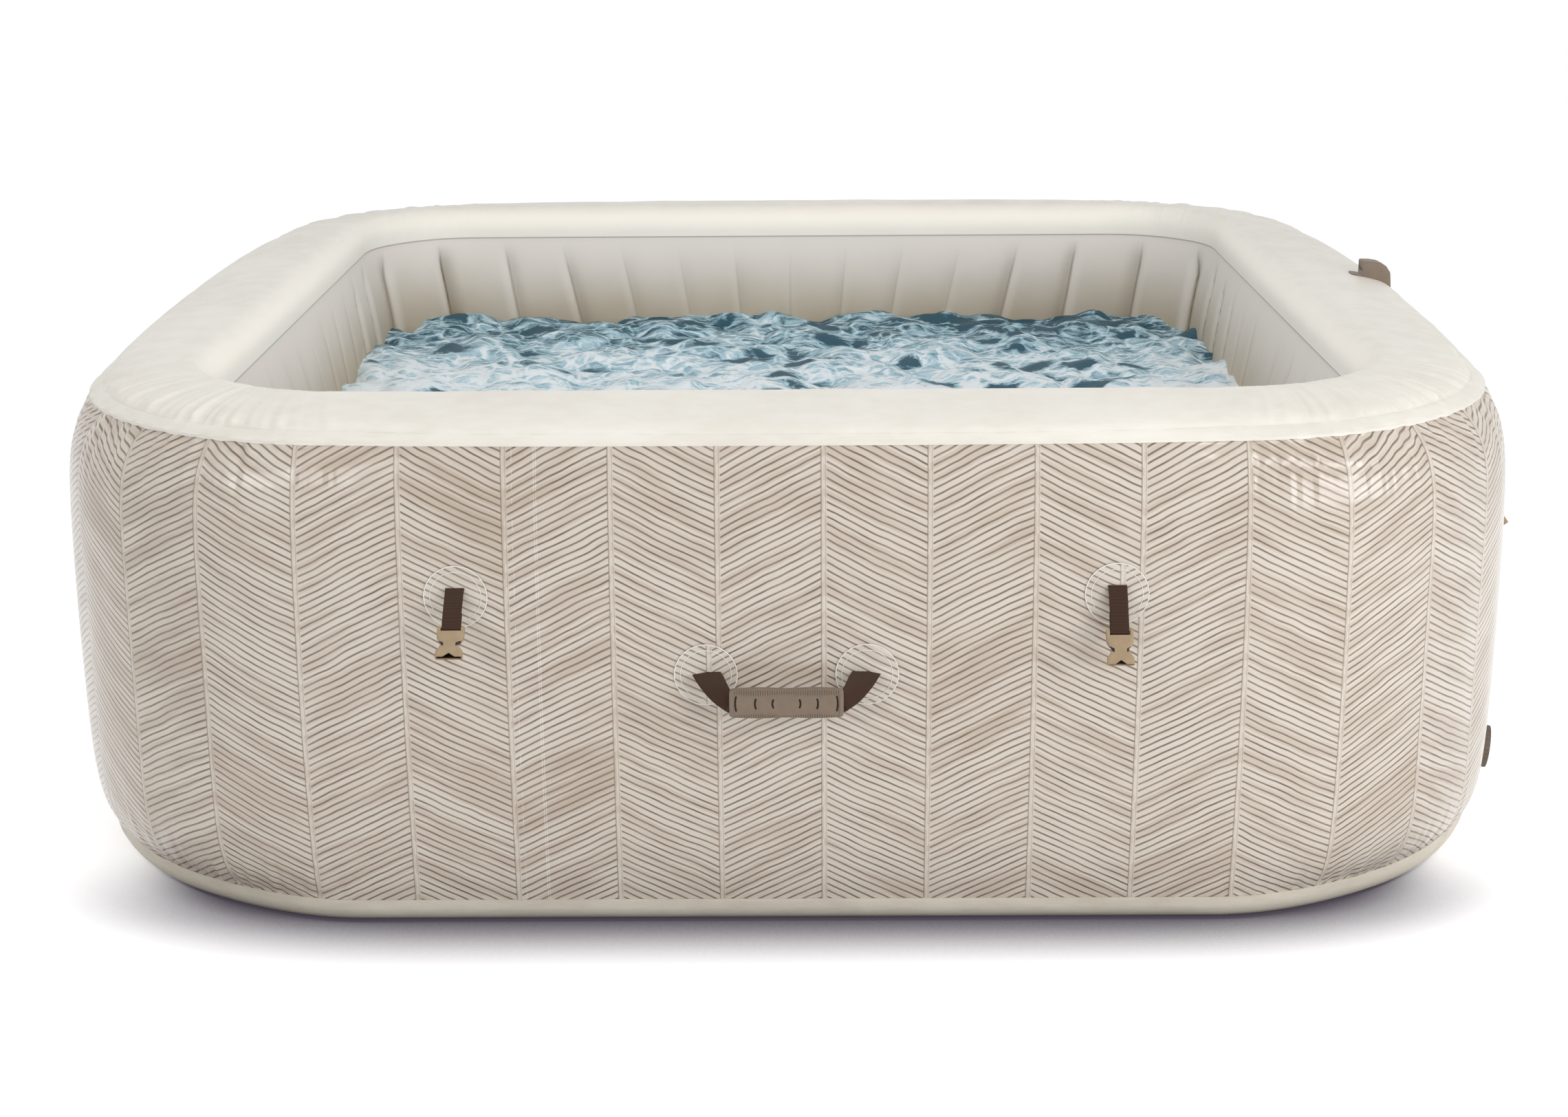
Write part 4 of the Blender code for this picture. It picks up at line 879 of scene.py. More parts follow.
def carried(points, matrix):
    """Points of a frame as points of the scene."""
    return points @ matrix[:3, :3].T + matrix[:3, 3]


def strap_frame(name):
    """Origin on the strap's hinge, X along it, and -Z down the webbing to the buckle's bar."""
    hinge, bar = joints["strap_swing_" + name], joints["buckle_tilt_" + name]
    along = -np.array(hinge["axis"])
    up = unit(np.array(hinge["pos_m"]) - np.array(bar["pos_m"]))
    return frame_of(along, np.cross(up, along), up, hinge["pos_m"])


STRAP_OFFSET, STRAP_HEIGHT = 0.437, 0.476
HANDLE_OFFSET, HANDLE_HEIGHT = 0.1075, 0.367
STRAPS = {
    "front_left": (0, -1), "front_right": (0, 1), "right_front": (1, -1), "right_rear": (1, 1),
    "back_right": (2, -1), "back_left": (2, 1), "left_rear": (3, -1), "left_front": (3, 1),
}
HANDLES = ((0, "front"), (2, "back"))
print("straps:", len(STRAPS), "handles:", len(HANDLES))

# %% [markdown]
# ## Welded patches
# Straps and handles hang from round patches cut from the same printed sheet and welded on by two thin
# rings. A patch is a low dome over rings and spokes. It lies over the print with its own cut of the
# pattern, a little aside, and the weld rings stand up as beads, bright with painted glints.


# %% Patches
PATCH_RADIUS = 0.0425
PATCH_LIFT, PATCH_DOME, PATCH_UNDER, PATCH_PRESS = 0.0010, 0.0016, 0.0004, 0.0005
BEAD_RING = 0.80
SPOKES = 96


def make_patch_vinyl():
    """The print again, on a glossier sheet."""
    finish = Finish("patch_vinyl", Specular_IOR_Level=0.5)
    colour, stroke, mottle = print_pattern(finish)
    colour = (0.05 + 0.10 * mottle).mix(colour, tint(244, 240, 233))
    normal = finish.relief(mottle * 0.2 - stroke, 0.0005)
    return finish.wear(Base_Color=colour, Roughness=0.16 + 0.14 * mottle, Normal=normal)


def make_weld_vinyl():
    """A pressed bead of clear vinyl, with painted glints: noise makes its colour brighter in spots."""
    finish = Finish("weld_vinyl", Specular_IOR_Level=0.6)
    glint = finish.place.noise(70.0, 3.0)
    # painted highlight: the glint noise lightens the colour in spots
    colour = glint.mix(tint(226, 220, 210), tint(252, 251, 248))
    return finish.wear(Base_Color=colour, Roughness=0.12 + 0.1 * glint)


patch_vinyl = make_patch_vinyl()
weld_vinyl = make_weld_vinyl()


def bead(name, radius, thick, out, matrix):
    """A ring of round section, lying on the wall at a distance out."""
    turn = full_turn(SPOKES)[:, None]
    section = full_turn(8)[None, :]
    reach = radius + thick * np.cos(section)
    depth = -out - thick * np.sin(section) + 0 * turn
    points = np.stack([reach * np.cos(turn), depth, reach * np.sin(turn)], -1)
    return surface(name, carried(points, matrix), weld_vinyl)


def make_patch(name, side, along, height, shift):
    """A dome from its rim to its crown, closed below, with a bead at its edge and one further in."""
    matrix = side_frame(side, along, height)
    spin = np.linspace(0, 2 * math.pi, SPOKES + 1)[:, None]
    turn = spin[:-1]
    share = np.r_[0.0, np.linspace(0.02, 1.0, 18), 1.0, 0.5, 0.0][None, :]
    lift = PATCH_LIFT + PATCH_DOME * np.clip(1 - share**2, 0, 1) - PATCH_PRESS * hump(share - BEAD_RING, 0.04)
    lift[:, -3:] = PATCH_UNDER
    reach = PATCH_RADIUS * share
    points = np.stack([reach * np.cos(turn), -lift + 0 * turn, reach * np.sin(turn)], -1)
    arc = along + CORE_HALF + side * ROUND / 4 + shift + reach * np.cos(spin)
    up = height - BAND_HEIGHT + WALL_HEM + reach * np.sin(spin)
    uv = np.stack([arc / ROUND, up], -1)
    dome = surface(name, carried(points, matrix), patch_vinyl, wrap=(True, False), uv=uv, weld=True)
    edge = bead(name + "_edge", PATCH_RADIUS - 0.0006, 0.0007, 0.0010, matrix)
    inner = bead(name + "_inner", BEAD_RING * PATCH_RADIUS, 0.00045, 0.0016, matrix)
    patch = joined(name, [dome, edge, inner])
    patch.data.shade_smooth()
    return patch


for index, (strap, (side, end)) in enumerate(STRAPS.items()):
    made = make_patch("patch_" + strap, side, end * STRAP_OFFSET, STRAP_HEIGHT, 0.017 + 0.009 * (index % 3))
    dress(made, "tub", "clear_vinyl", "strap_patch_" + strap)
for side, place in HANDLES:
    for end, hand in ((-1, "left"), (1, "right")):
        spot = place + "_" + hand
        made = make_patch("patch_handle_" + spot, side, end * HANDLE_OFFSET, HANDLE_HEIGHT, 0.013)
        dress(made, "tub", "clear_vinyl", "handle_patch_" + spot)

# %% [markdown]
# ## Webbing
# Webbing is a flat ribbon woven with cross ribs. It is swept along its path: at each step a flat rounded
# section stands across the path, and its thickness swells and shrinks with the ribs, so that the ribs are
# real. The strap turns over a fold in its patch, runs down, goes round the buckle's bar and comes back up
# behind.


# %% Webbing
RIB = 0.0020


def make_webbing():
    """Brown polyester: a painted highlight makes it lighter on top of each rib, with a speckle of single
    threads.
    """
    finish = Finish("brown_webbing", Specular_IOR_Level=0.25, Sheen_Weight=0.15)
    along = finish.lay.parts()[1]
    rib = finish.place.math("COSINE", along * (2 * math.pi / RIB))
    thread = finish.place.noise(1500.0, 2.0)
    # painted highlight: the tone is lighter on top of each rib
    tone = (0.5 + 0.35 * rib + 0.5 * (thread - 0.5)).step(0.1, 1.0)
    return finish.wear(Base_Color=tone.mix(tint(25, 14, 8), tint(82, 54, 35)), Roughness=0.7 + 0.2 * thread)


brown_webbing = make_webbing()


def even(path, step):
    """The path drawn again with points at an even step along it."""
    length = travelled(path)
    marks = np.linspace(0, length[-1], max(int(length[-1] / step), 2))
    return np.stack([np.interp(marks, length, path[:, k]) for k in range(path.shape[1])], -1), marks


def ribbon(name, path, wide, marks, width, thick, matrix, material):
    """A flat rounded section across the path, thicker on each rib and closed at both ends. The width is one
    number, or one for each point of the path."""
    run = unit(np.gradient(path, axis=0))
    out = unit(np.cross(run, wide))
    across = np.r_[np.linspace(-0.97, 0.97, 8), 1.0, np.linspace(0.97, -0.97, 8), -1.0] / 2
    face = np.r_[np.ones(8), 0.0, -np.ones(8), 0.0] * thick / 2
    swell = 0.80 + 0.28 * np.cos(2 * math.pi * marks / RIB)
    points = path[:, None] + wide[:, None] * (np.reshape(width, (-1, 1)) * across)[..., None]
    points = points + out[:, None] * (face[None, :] * swell[:, None])[..., None]
    ends = np.repeat(path[[0, -1], None], across.size, axis=1)
    points = np.concatenate([ends[:1], points, ends[1:]])
    length = np.r_[marks[0], marks, marks[-1]]
    round_share = np.arange(across.size + 1) / across.size
    uv = np.stack(np.meshgrid(length, round_share, indexing="ij")[::-1], -1)
    return surface(name, carried(points, matrix), material, wrap=(False, True), uv=uv, weld=True)


# %% Straps
STRAP_WIDTH, STRAP_DROP, STRAP_TAIL, WEBBING = 0.025, 0.062, 0.025, 0.0016
FOLD, BAR, STRAP_SWAY = 0.0015, 0.0022, 0.0012


def make_strap(name):
    """Over the fold, down to the bar, round it and a short way up behind."""
    fold = np.radians(np.linspace(-70, 180, 24))
    turn = np.linspace(math.pi, 2 * math.pi, 24)
    around = BAR + FIT + WEBBING / 2
    over = np.stack([FOLD * np.cos(fold), FOLD * np.sin(fold)], -1)
    share = np.linspace(0.05, 0.95, 14)
    sway = STRAP_SWAY * np.sin(math.pi * share)
    down = np.stack([-FOLD + (FOLD - around) * share - sway, -STRAP_DROP * share], -1)
    under = np.stack([around * np.cos(turn), -STRAP_DROP + around * np.sin(turn)], -1)
    tail = np.array([[0.0012, -STRAP_DROP + STRAP_TAIL]])
    flat, marks = even(np.concatenate([over, down, under, tail]), 0.00036)
    path = np.concatenate([np.zeros((len(flat), 1)), flat], axis=1)
    wide = np.tile([1.0, 0.0, 0.0], (len(flat), 1))
    place = strap_frame(name)
    return ribbon("webbing_" + name, path, wide, marks, STRAP_WIDTH, WEBBING, place, brown_webbing)


for strap in STRAPS:
    dress(make_strap(strap), "strap_" + strap, "brown_webbing", "strap_webbing_" + strap)

# %% [markdown]
# ## Plastics
# The fittings are injection moulded, so their finish is even: a little mottling, a fine grain and a satin
# gloss. Where a shape has pockets, its lay carries their depth, and shade is painted into the finish there.


# %% Moulded finishes
def make_plastic(name, light, shade, gloss, pockets=False):
    """Satin plastic; the first part of the lay paints shade into it where a piece has pockets."""
    finish = Finish(name, Specular_IOR_Level=0.45)
    cloud = finish.place.noise(85.0, 3.0)
    grain = finish.place.noise(1300.0, 2.0)
    colour = cloud.mix(light, shade)
    if pockets:
        depth = finish.lay.parts()[0]
        # painted shade: the deeper parts of the pockets are darkened
        colour = depth.step(0.25, 0.75).mix(colour, tint(20, 15, 12))
    normal = finish.relief(grain, 0.00006)
    return finish.wear(Base_Color=colour, Roughness=gloss + 0.14 * cloud, Normal=normal)


tan_plastic = make_plastic("tan_plastic", tint(169, 147, 117), tint(147, 125, 95), 0.32, pockets=True)
taupe_moulding = make_plastic("taupe_moulding", tint(129, 113, 97), tint(113, 98, 83), 0.42, pockets=True)
taupe_plastic = make_plastic("taupe_plastic", tint(112, 97, 84), tint(96, 82, 70), 0.40)
grey_plastic = make_plastic("grey_plastic", tint(138, 138, 137), tint(122, 122, 121), 0.40)
dark_rubber = make_plastic("dark_rubber", tint(42, 40, 39), tint(33, 31, 30), 0.62)

# %% [markdown]
# ## Buckles
# Each strap ends in the socket half of a side-release buckle. The body is a tube of rounded rectangular
# section whose half-width follows the moulding: wide shoulders, a waist, a flared mouth. The same surface
# turns in at the mouth and runs up inside as the socket. Slanting side windows, a notch at the mouth, a
# step across the face and a round mark are pressed into it. Two arms and a bar carry the webbing.


# %% Buckle
BUCKLE_LENGTH, BUCKLE_HALF = 0.044, 0.00475
ARM_IN, ARM_OUT, ARM_TOP = 0.0131, 0.0179, 0.003


def buckle_width(z):
    """Half-width of the body at a height: straight runs between the marks of the outline, rounded off."""
    marks = np.array([-0.0440, -0.0400, -0.0345, -0.0300, -0.0255, -0.0225, -0.0140, -0.0050])
    widths = np.array([0.0180, 0.0180, 0.0176, 0.0138, 0.0125, 0.0132, 0.0177, 0.0179])
    fine_z = np.linspace(-0.050, 0.0, 501)
    line = np.interp(fine_z, marks, widths)
    kernel = np.hanning(31)
    line = np.convolve(np.pad(line, 15, mode="edge"), kernel / kernel.sum(), mode="valid")
    return np.interp(z, fine_z, line)


def slab(turn, wide, thick, power):
    """A rounded rectangle as a superellipse: cosine and sine of the turn raised to a small power."""
    cos, sin = np.cos(turn), np.sin(turn)
    return wide * np.sign(cos) * np.abs(cos) ** power, thick * np.sign(sin) * np.abs(sin) ** power


def make_buckle_body(matrix):
    turn = np.linspace(0, 2 * math.pi, 121)[None, :-1]
    front = turn > math.pi
    top, mouth = -0.0052, -BUCKLE_LENGTH
    share = np.linspace(0, 1, 84)[:, None]
    width = buckle_width(top + (mouth - top) * share)
    x, out = slab(turn, width, BUCKLE_HALF, 0.30)
    notch = np.clip((0.0034 - np.abs(x)) / 0.0006, 0, 1) * (out < 0) * np.clip(share * 3 - 2, 0, 1)
    z = top + (mouth - top) * share + 0.0055 * notch + 0 * turn
    slant = z + 0.0240 - 0.55 * (np.abs(x) - 0.0115)
    window = np.clip((0.0027 - np.abs(slant)) / 0.0004, 0, 1) * np.clip((np.abs(x) - 0.0082) / 0.0004, 0, 1)
    step = np.exp(-(((z + 0.0185 - 0.62 * (np.abs(x) - 0.011)) / 0.0005) ** 2)) * (np.abs(x) > 0.004)
    mark = np.exp(-(((np.hypot(x + 0.003, z + 0.0262) - 0.0019) / 0.0003) ** 2)) * front
    press = 0.0013 * window + 0.00035 * step * front + 0.0003 * mark
    shrink_x, shrink_y = 1 - press / width, 1 - press / BUCKLE_HALF
    outside = np.stack([x * shrink_x, out * shrink_y, z], -1)
    rise = np.linspace(0, 1, 24)[:, None]
    depth = mouth + 0.026 * rise
    room = np.maximum(buckle_width(depth) - 0.0017 - 0.0012 * rise, 0.009)
    in_x, in_y = slab(turn, room, BUCKLE_HALF - 0.0016, 0.24)
    lip = np.clip((0.0034 - np.abs(in_x)) / 0.0006, 0, 1) * (in_y < 0) * np.clip(1 - rise * 3, 0, 1)
    inside = np.stack([in_x, in_y + 0 * in_x, depth + 0.0055 * lip], -1)
    cap = np.stack([0.97 * x[:1], 0.90 * out[:1], z[:1] + 0.0004], -1)
    ends = np.zeros((2, 1, 3)) + np.array([[[0, 0, top + 0.0005]], [[0, 0, mouth + 0.0262]]])
    ends = np.repeat(ends, 120, axis=1)
    points = np.concatenate([ends[:1], cap, outside, inside, ends[1:]])
    # painted shade in the side windows and down inside the socket, carried by the first part of the lay
    dark = np.concatenate([np.zeros((2, 120)), window, np.clip(rise * 8, 0, 1) + 0 * turn, np.ones((1, 120))])
    dark = np.hstack([dark, dark[:, :1]])
    uv = np.stack([dark, 0 * dark], -1)
    points = carried(points, matrix)
    return surface("body", points, tan_plastic, wrap=(False, True), uv=uv, weld=True, sharp=50.0)


def pillow(name, low, high, matrix, material, power=0.35):
    """A block with rounded edges between two corners."""
    low, high = np.array(low), np.array(high)
    middle, half = (low + high) / 2, (high - low) / 2
    turn = np.linspace(0, 2 * math.pi, 33)[None, :-1]
    tilt = np.linspace(-math.pi / 2, math.pi / 2, 17)[:, None]
    ring = np.abs(np.cos(tilt)) ** power
    x, y = slab(turn, half[0], half[1], power)
    z = half[2] * np.sign(np.sin(tilt)) * np.abs(np.sin(tilt)) ** power
    points = np.stack([x * ring, y * ring, z + 0 * turn], -1) + middle
    uv = np.zeros((17, 33, 2))
    return surface(name, carried(points, matrix), material, wrap=(False, True), uv=uv, weld=True)


def make_buckle(name):
    matrix = strap_frame(name)
    matrix[:3, 3] = joints["buckle_tilt_" + name]["pos_m"]
    body = make_buckle_body(matrix)
    deep = BUCKLE_HALF
    left = pillow("left", (-ARM_OUT, -deep, -0.010), (-ARM_IN, deep, ARM_TOP), matrix, tan_plastic)
    right = pillow("right", (ARM_IN, -deep, -0.010), (ARM_OUT, deep, ARM_TOP), matrix, tan_plastic)
    bar = pillow("bar", (-ARM_OUT + 0.001, -BAR, -BAR), (ARM_OUT - 0.001, BAR, BAR), matrix, tan_plastic, 0.6)
    return joined("buckle_" + name, [body, left, right, bar])


for strap in STRAPS:
    dress(make_buckle(strap), "buckle_" + strap, "tan_plastic", "strap_buckle_" + strap)

# %% [markdown]
# ## Carrying handles
# A handle is one length of webbing between two patches, through a moulded grip. At the patch the webbing
# lies level in its slit; on its way to the grip it twists by a quarter turn and stands upright. The path is
# a cubic curve, and the twist eases in and out along it.

# %% Handle webbing
GRIP_LENGTH, GRIP_HEIGHT, GRIP_THICK = 0.150, 0.041, 0.013
GRIP_OUT, GRIP_DROP = 0.050, 0.025
HANDLE_WIDTH = 0.038


def handle_frame(side):
    """The frame of a side, moved to the hinge line of its handle."""
    matrix = side_frame(side, 0.0, HANDLE_HEIGHT)
    matrix[:3, 3] = carried(np.array([0.0, -0.0038, 0.004]), matrix)
    return matrix


def make_handle_webbing(side, place):
    """From slit to slit through the grip. The outer end of a slit becomes the lower edge at the grip, and
    half-way there the lower edge stands out most. The webbing narrows as it curls on its way into the
    grip."""
    end = GRIP_LENGTH / 2 - 0.002
    lap = HANDLE_OFFSET - end
    ahead = np.array([
        [HANDLE_OFFSET, 0.0012, 0.0],
        [HANDLE_OFFSET - 0.34 * lap, -0.60 * GRIP_OUT, -0.26 * GRIP_DROP],
        [end + 0.42 * lap, -0.97 * GRIP_OUT, -0.66 * GRIP_DROP],
        [end, -GRIP_OUT, -GRIP_DROP],
    ])
    t = np.linspace(0, 1, 200)[:, None]
    s = 1 - t
    curve = s**3 * ahead[0] + 3 * s * s * t * ahead[1] + 3 * s * t * t * ahead[2] + t**3 * ahead[3]
    twist = math.pi / 2 * t * t * (3 - 2 * t)
    wide = np.concatenate([np.cos(twist), -0.6 * np.sin(2 * twist), -np.sin(twist)], axis=1)
    mirror = np.array([-1.0, 1.0, 1.0])
    rough = np.concatenate([curve, curve[::-1] * mirror])
    broad = np.concatenate([wide, wide[::-1] * mirror])
    path, marks = even(rough, 0.00045)
    length = np.r_[0, np.cumsum(np.linalg.norm(np.diff(rough, axis=0), axis=1))]
    level = np.stack([np.interp(marks, length, broad[:, k]) for k in range(3)], -1)
    curl = np.interp(marks, length, np.concatenate([twist, twist[::-1]])[:, 0] / (math.pi / 2))
    width = HANDLE_WIDTH * (1 - 0.26 * np.sin(math.pi / 2 * curl))
    run = np.gradient(path, axis=0)
    run /= np.linalg.norm(run, axis=1, keepdims=True)
    level -= run * np.sum(level * run, axis=1, keepdims=True)
    level /= np.linalg.norm(level, axis=1, keepdims=True)
    name = "webbing_handle_" + place
    return ribbon(name, path, level, marks, width, WEBBING, handle_frame(side), brown_webbing)


# %% Grip
def make_grip(side, place):
    """A flat sleeve swept along its length: a rounded section, wavy long edges, upright ribs along both
    edges of the face, a smooth panel with six slots between them, and a raised border at the ends."""
    x = np.linspace(-1, 1, 400)[:, None] * GRIP_LENGTH / 2
    flank = np.clip(1 - (np.abs(x) / (GRIP_LENGTH / 2)) ** 30, 0, 1) ** 0.5
    wave = 0.0012 * (1 + np.cos(4 * math.pi * x / GRIP_LENGTH)) / 2
    tall = (GRIP_HEIGHT / 2 - wave) * (0.80 + 0.20 * flank)
    up = np.linspace(-0.93, 0.93, 44)
    bend = np.linspace(0, math.pi, 9)[1:-1]
    z = np.r_[up, 0.93 + 0.07 * np.sin(bend), up[::-4], -0.93 - 0.07 * np.sin(bend)][None, :]
    y = np.r_[-np.ones(44), -np.cos(bend), np.ones(up[::-4].size), np.cos(bend)][None, :]
    face = (y < -0.99) & (np.abs(z) < 0.94)
    height = z * tall
    band_top = height - 0.0118 - 0.0011 * np.cos(4 * math.pi * x / GRIP_LENGTH)
    band_low = -height - 0.0145 - 0.0009 * np.cos(4 * math.pi * x / GRIP_LENGTH)
    in_band = np.clip(np.maximum(band_top, band_low) / 0.0006, 0, 1) * (np.abs(x) < GRIP_LENGTH / 2 - 0.005)
    ribs = 0.5 + 0.5 * np.cos(2 * math.pi * x / 0.0031)
    panel = np.clip(np.minimum(-band_top, -band_low) / 0.0006, 0, 1) * (np.abs(x) < GRIP_LENGTH / 2 - 0.005)
    slots = 0 * height
    for along, high in ((0.0660, 0.0215), (0.0400, 0.0150), (0.0170, 0.0130)):
        bowed = np.abs(np.abs(x) - along - 0.0014 * np.cos(math.pi * height / high))
        tall_part = np.clip((high / 2 - np.abs(height)) / 0.0006, 0, 1)
        slots = np.maximum(slots, np.clip((0.0013 - bowed) / 0.0004, 0, 1) * tall_part)
    press = face * (0.0010 * in_band * ribs + 0.0009 * panel + 0.0026 * slots)
    depth = GRIP_THICK / 2 * (0.75 + 0.25 * flank)
    points = np.stack([x + 0 * z, y * depth + press, height], -1)
    points = points + np.array([0.0, -GRIP_OUT, -GRIP_DROP])
    tip = GRIP_LENGTH / 2 + 0.0005
    middle = np.array([[[-tip, -GRIP_OUT, -GRIP_DROP]], [[tip, -GRIP_OUT, -GRIP_DROP]]])
    ends = np.repeat(middle, z.size, axis=1)
    points = np.concatenate([ends[:1], points, ends[1:]])
    plain = np.zeros((1, z.size))
    # painted shade in the slots and in the pressed grooves between the ribs, carried by the first part of the
    # lay
    dark = np.concatenate([plain, face * np.maximum(slots, 0.50 * in_band * ribs), plain])
    dark = np.hstack([dark, dark[:, :1]])
    uv = np.stack([dark, 0 * dark], -1)
    points = carried(points, handle_frame(side))
    return surface("grip_" + place, points, taupe_moulding, wrap=(False, True), uv=uv, weld=True)


for side, place in HANDLES:
    webbing = make_handle_webbing(side, place)
    dress(webbing, "handle_" + place, "brown_webbing", "handle_webbing_" + place)
    dress(make_grip(side, place), "handle_" + place, "taupe_plastic", "handle_grip_" + place)

# %% [markdown]
# ## Turned fittings
# Ports, caps, strainers, the drain and the valve are turned shapes: a profile of radius and distance
# outwards, spun round its axis. Their corners are eased a little, as on any moulding, because a sharp
# corner catches no light.


# %% Turning
def eased(profile, soft, closed):
    """The profile with each corner replaced by a short curve."""
    profile = np.array(profile, float)
    before, after = np.roll(profile, 1, axis=0), np.roll(profile, -1, axis=0)
    to_before, to_after = before - profile, after - profile
    len_before = np.linalg.norm(to_before, axis=1, keepdims=True)
    len_after = np.linalg.norm(to_after, axis=1, keepdims=True)
    first = profile + to_before / len_before * np.minimum(soft, 0.4 * len_before)
    last = profile + to_after / len_after * np.minimum(soft, 0.4 * len_after)
    t = np.linspace(0, 1, 4)[None, :, None]
    curves = (1 - t) ** 2 * first[:, None] + 2 * t * (1 - t) * profile[:, None] + t**2 * last[:, None]
    if closed:
        return curves.reshape(-1, 2)
    return np.concatenate([profile[:1], curves[1:-1].reshape(-1, 2), profile[-1:]])


def turned(name, profile, matrix, material, soft=0.0007, ribs=0, rib_from=0.0):
    """A profile spun round the frame's axis; ribs are pressed in where the radius is at least rib_from."""
    closed = profile[0][0] > 0
    line = eased(profile, soft, closed)
    turn = np.linspace(0, 2 * math.pi, 145)[:-1, None]
    radius, out = line[None, :, 0], line[None, :, 1]
    if ribs:
        grip = np.clip(np.cos(ribs * turn) * 2, -1, 1) * 0.5 - 0.5
        radius = radius + 0.0010 * grip * (radius > rib_from)
    points = np.stack([radius * np.cos(turn), -out + 0 * turn, radius * np.sin(turn)], -1)
    uv = np.zeros((145, line.shape[0] + (1 if closed else 0), 2))
    points = carried(points, matrix)
    return surface(name, points, material, wrap=(True, closed), uv=uv, weld=not closed, sharp=40.0)


def port_profile(tube, bore, flange, spigot, end):
    face = FIT + 0.004
    return [(bore, spigot), (tube, spigot), (tube, face), (flange, face), (flange, FIT), (tube, FIT),
            (tube, -end), (bore, -end)]


def cap_profile(inside, spigot, wall, low):
    top = spigot + FIT
    return [(0, top), (inside, top), (inside, low), (inside + wall, low), (inside + wall, top + 0.004),
            (0, top + 0.004)]


# %% Ports on the right side
PORT_HEIGHT = 0.338
WALL_GAP = WALL_HALF - (INNER_HALF + SKIN + FIT - INNER_BULGE)


def make_strainer(name, matrix, end, gap):
    """A round grille over the tube's end in the pool, with three slots pressed into its face."""
    cup = [(0, -end), (0.0237, -end), (0.0237, -gap), (0.034, -gap), (0.034, -gap - 0.003),
           (0.0262, -gap - 0.003), (0.0262, -end - 0.0012), (0.0212, -end - 0.0025), (0, -end - 0.0025)]
    grille = turned(name, cup, matrix, grey_plastic)
    bars = [grille]
    for rise in (-0.0095, 0.0, 0.0095):
        long = 0.8 * math.sqrt(0.019**2 - rise**2)
        low, high = (-long, end + 0.0012, rise - 0.0022), (long, end + 0.0031, rise + 0.0022)
        bars.append(pillow(name + "_slot", low, high, matrix, dark_rubber))
    return joined(name, bars)


for name, along in (("inlet", -0.150), ("outlet", 0.0)):
    seat = side_frame(1, along, PORT_HEIGHT)
    end = WALL_GAP + 0.014
    made = turned(name + "_fitting", port_profile(0.023, 0.019, 0.042, 0.024, end), seat, grey_plastic)
    dress(made, "tub", "grey_plastic", name + "_port")
    cup = cap_profile(0.0238, 0.024, 0.004, 0.0046)
    made = turned(name + "_lid", cup, seat, grey_plastic, ribs=32, rib_from=0.026)
    dress(made, name + "_cap", "grey_plastic", name + "_cap")
    made = make_strainer(name + "_grille", seat, end + FIT, WALL_GAP + 0.0012)
    dress(made, name + "_strainer", "grey_plastic", name + "_strainer")

seat = side_frame(1, 0.150, PORT_HEIGHT)
made = turned("air_fitting", port_profile(0.015, 0.012, 0.030, 0.024, 0.040), seat, grey_plastic)
dress(made, "tub", "grey_plastic", "air_port")
cup = cap_profile(0.0156, 0.024, 0.004, 0.0046)
made = turned("air_lid", cup, seat, grey_plastic, ribs=24, rib_from=0.018)
dress(made, "air_cap", "grey_plastic", "air_cap")

# %% Valve
seat = side_frame(1, 0.390, 0.230)
body = [(0.019, 0.0163), (0.024, 0.0163), (0.024, 0.0043), (0.036, 0.0043), (0.036, FIT),
        (0.024, FIT), (0.024, -0.036), (0.019, -0.036), (0.019, -0.021), (0.0043, -0.021),
        (0.0043, -0.018), (0.019, -0.018)]
dress(turned("valve_housing", body, seat, grey_plastic), "tub", "grey_plastic", "valve_body")
stem = [(0, 0.0025), (0.010, 0.0025), (0.010, 0), (0.004, 0), (0.004, -0.0213), (0.015, -0.0213),
        (0.015, -0.0238), (0, -0.0238)]
dress(turned("valve_pin", stem, seat, grey_plastic), "valve_stem", "grey_plastic", "valve_stem")
cup = cap_profile(0.0248, 0.0163, 0.004, 0.0046)
made = turned("valve_lid", cup, seat, grey_plastic, ribs=32, rib_from=0.027)
dress(made, "valve_cap", "grey_plastic", "valve_cap")

# %% Drain at the right front corner
turn = math.radians(10.0)
seat = wall_frame((CORE_HALF, -CORE_HALF), (math.cos(turn), -math.sin(turn)), 0.115)
end = float(wall_half(0.115) - inner_half(0.115)) + 0.014
made = turned("drain_fitting", port_profile(0.016, 0.0125, 0.034, 0.013, end), seat, dark_rubber)
dress(made, "tub", "taupe_plastic", "drain_port")
ring = [(0.0163, 0.007), (0.0238, 0.007), (0.0238, 0.0046), (0.0163, 0.0046)]
dress(turned("drain_washer", ring, seat, dark_rubber), "tub", "dark_rubber", "drain_seal")
cup = cap_profile(0.0167, 0.013, 0.015, 0.0073)
made = turned("drain_lid", cup, seat, taupe_plastic, ribs=30, rib_from=0.030)
dress(made, "drain_cap", "taupe_plastic", "drain_cap")
plug = [(0, -end + 0.016), (0.0122, -end + 0.016), (0.0122, -end - FIT), (0.019, -end - FIT),
        (0.019, -end - 0.0043), (0, -end - 0.0043)]
dress(turned("drain_stopper", plug, seat, dark_rubber), "drain_plug", "dark_rubber", "drain_plug")

# %% [markdown]
# ## The dock on the rim
# A small moulded dock stands on the right shoulder of the rim, with a slot for the hook of a tray. Its
# solid is taken over: its outer end is made fuller, its slot narrower, and the edges of its top and tongue
# are rounded.


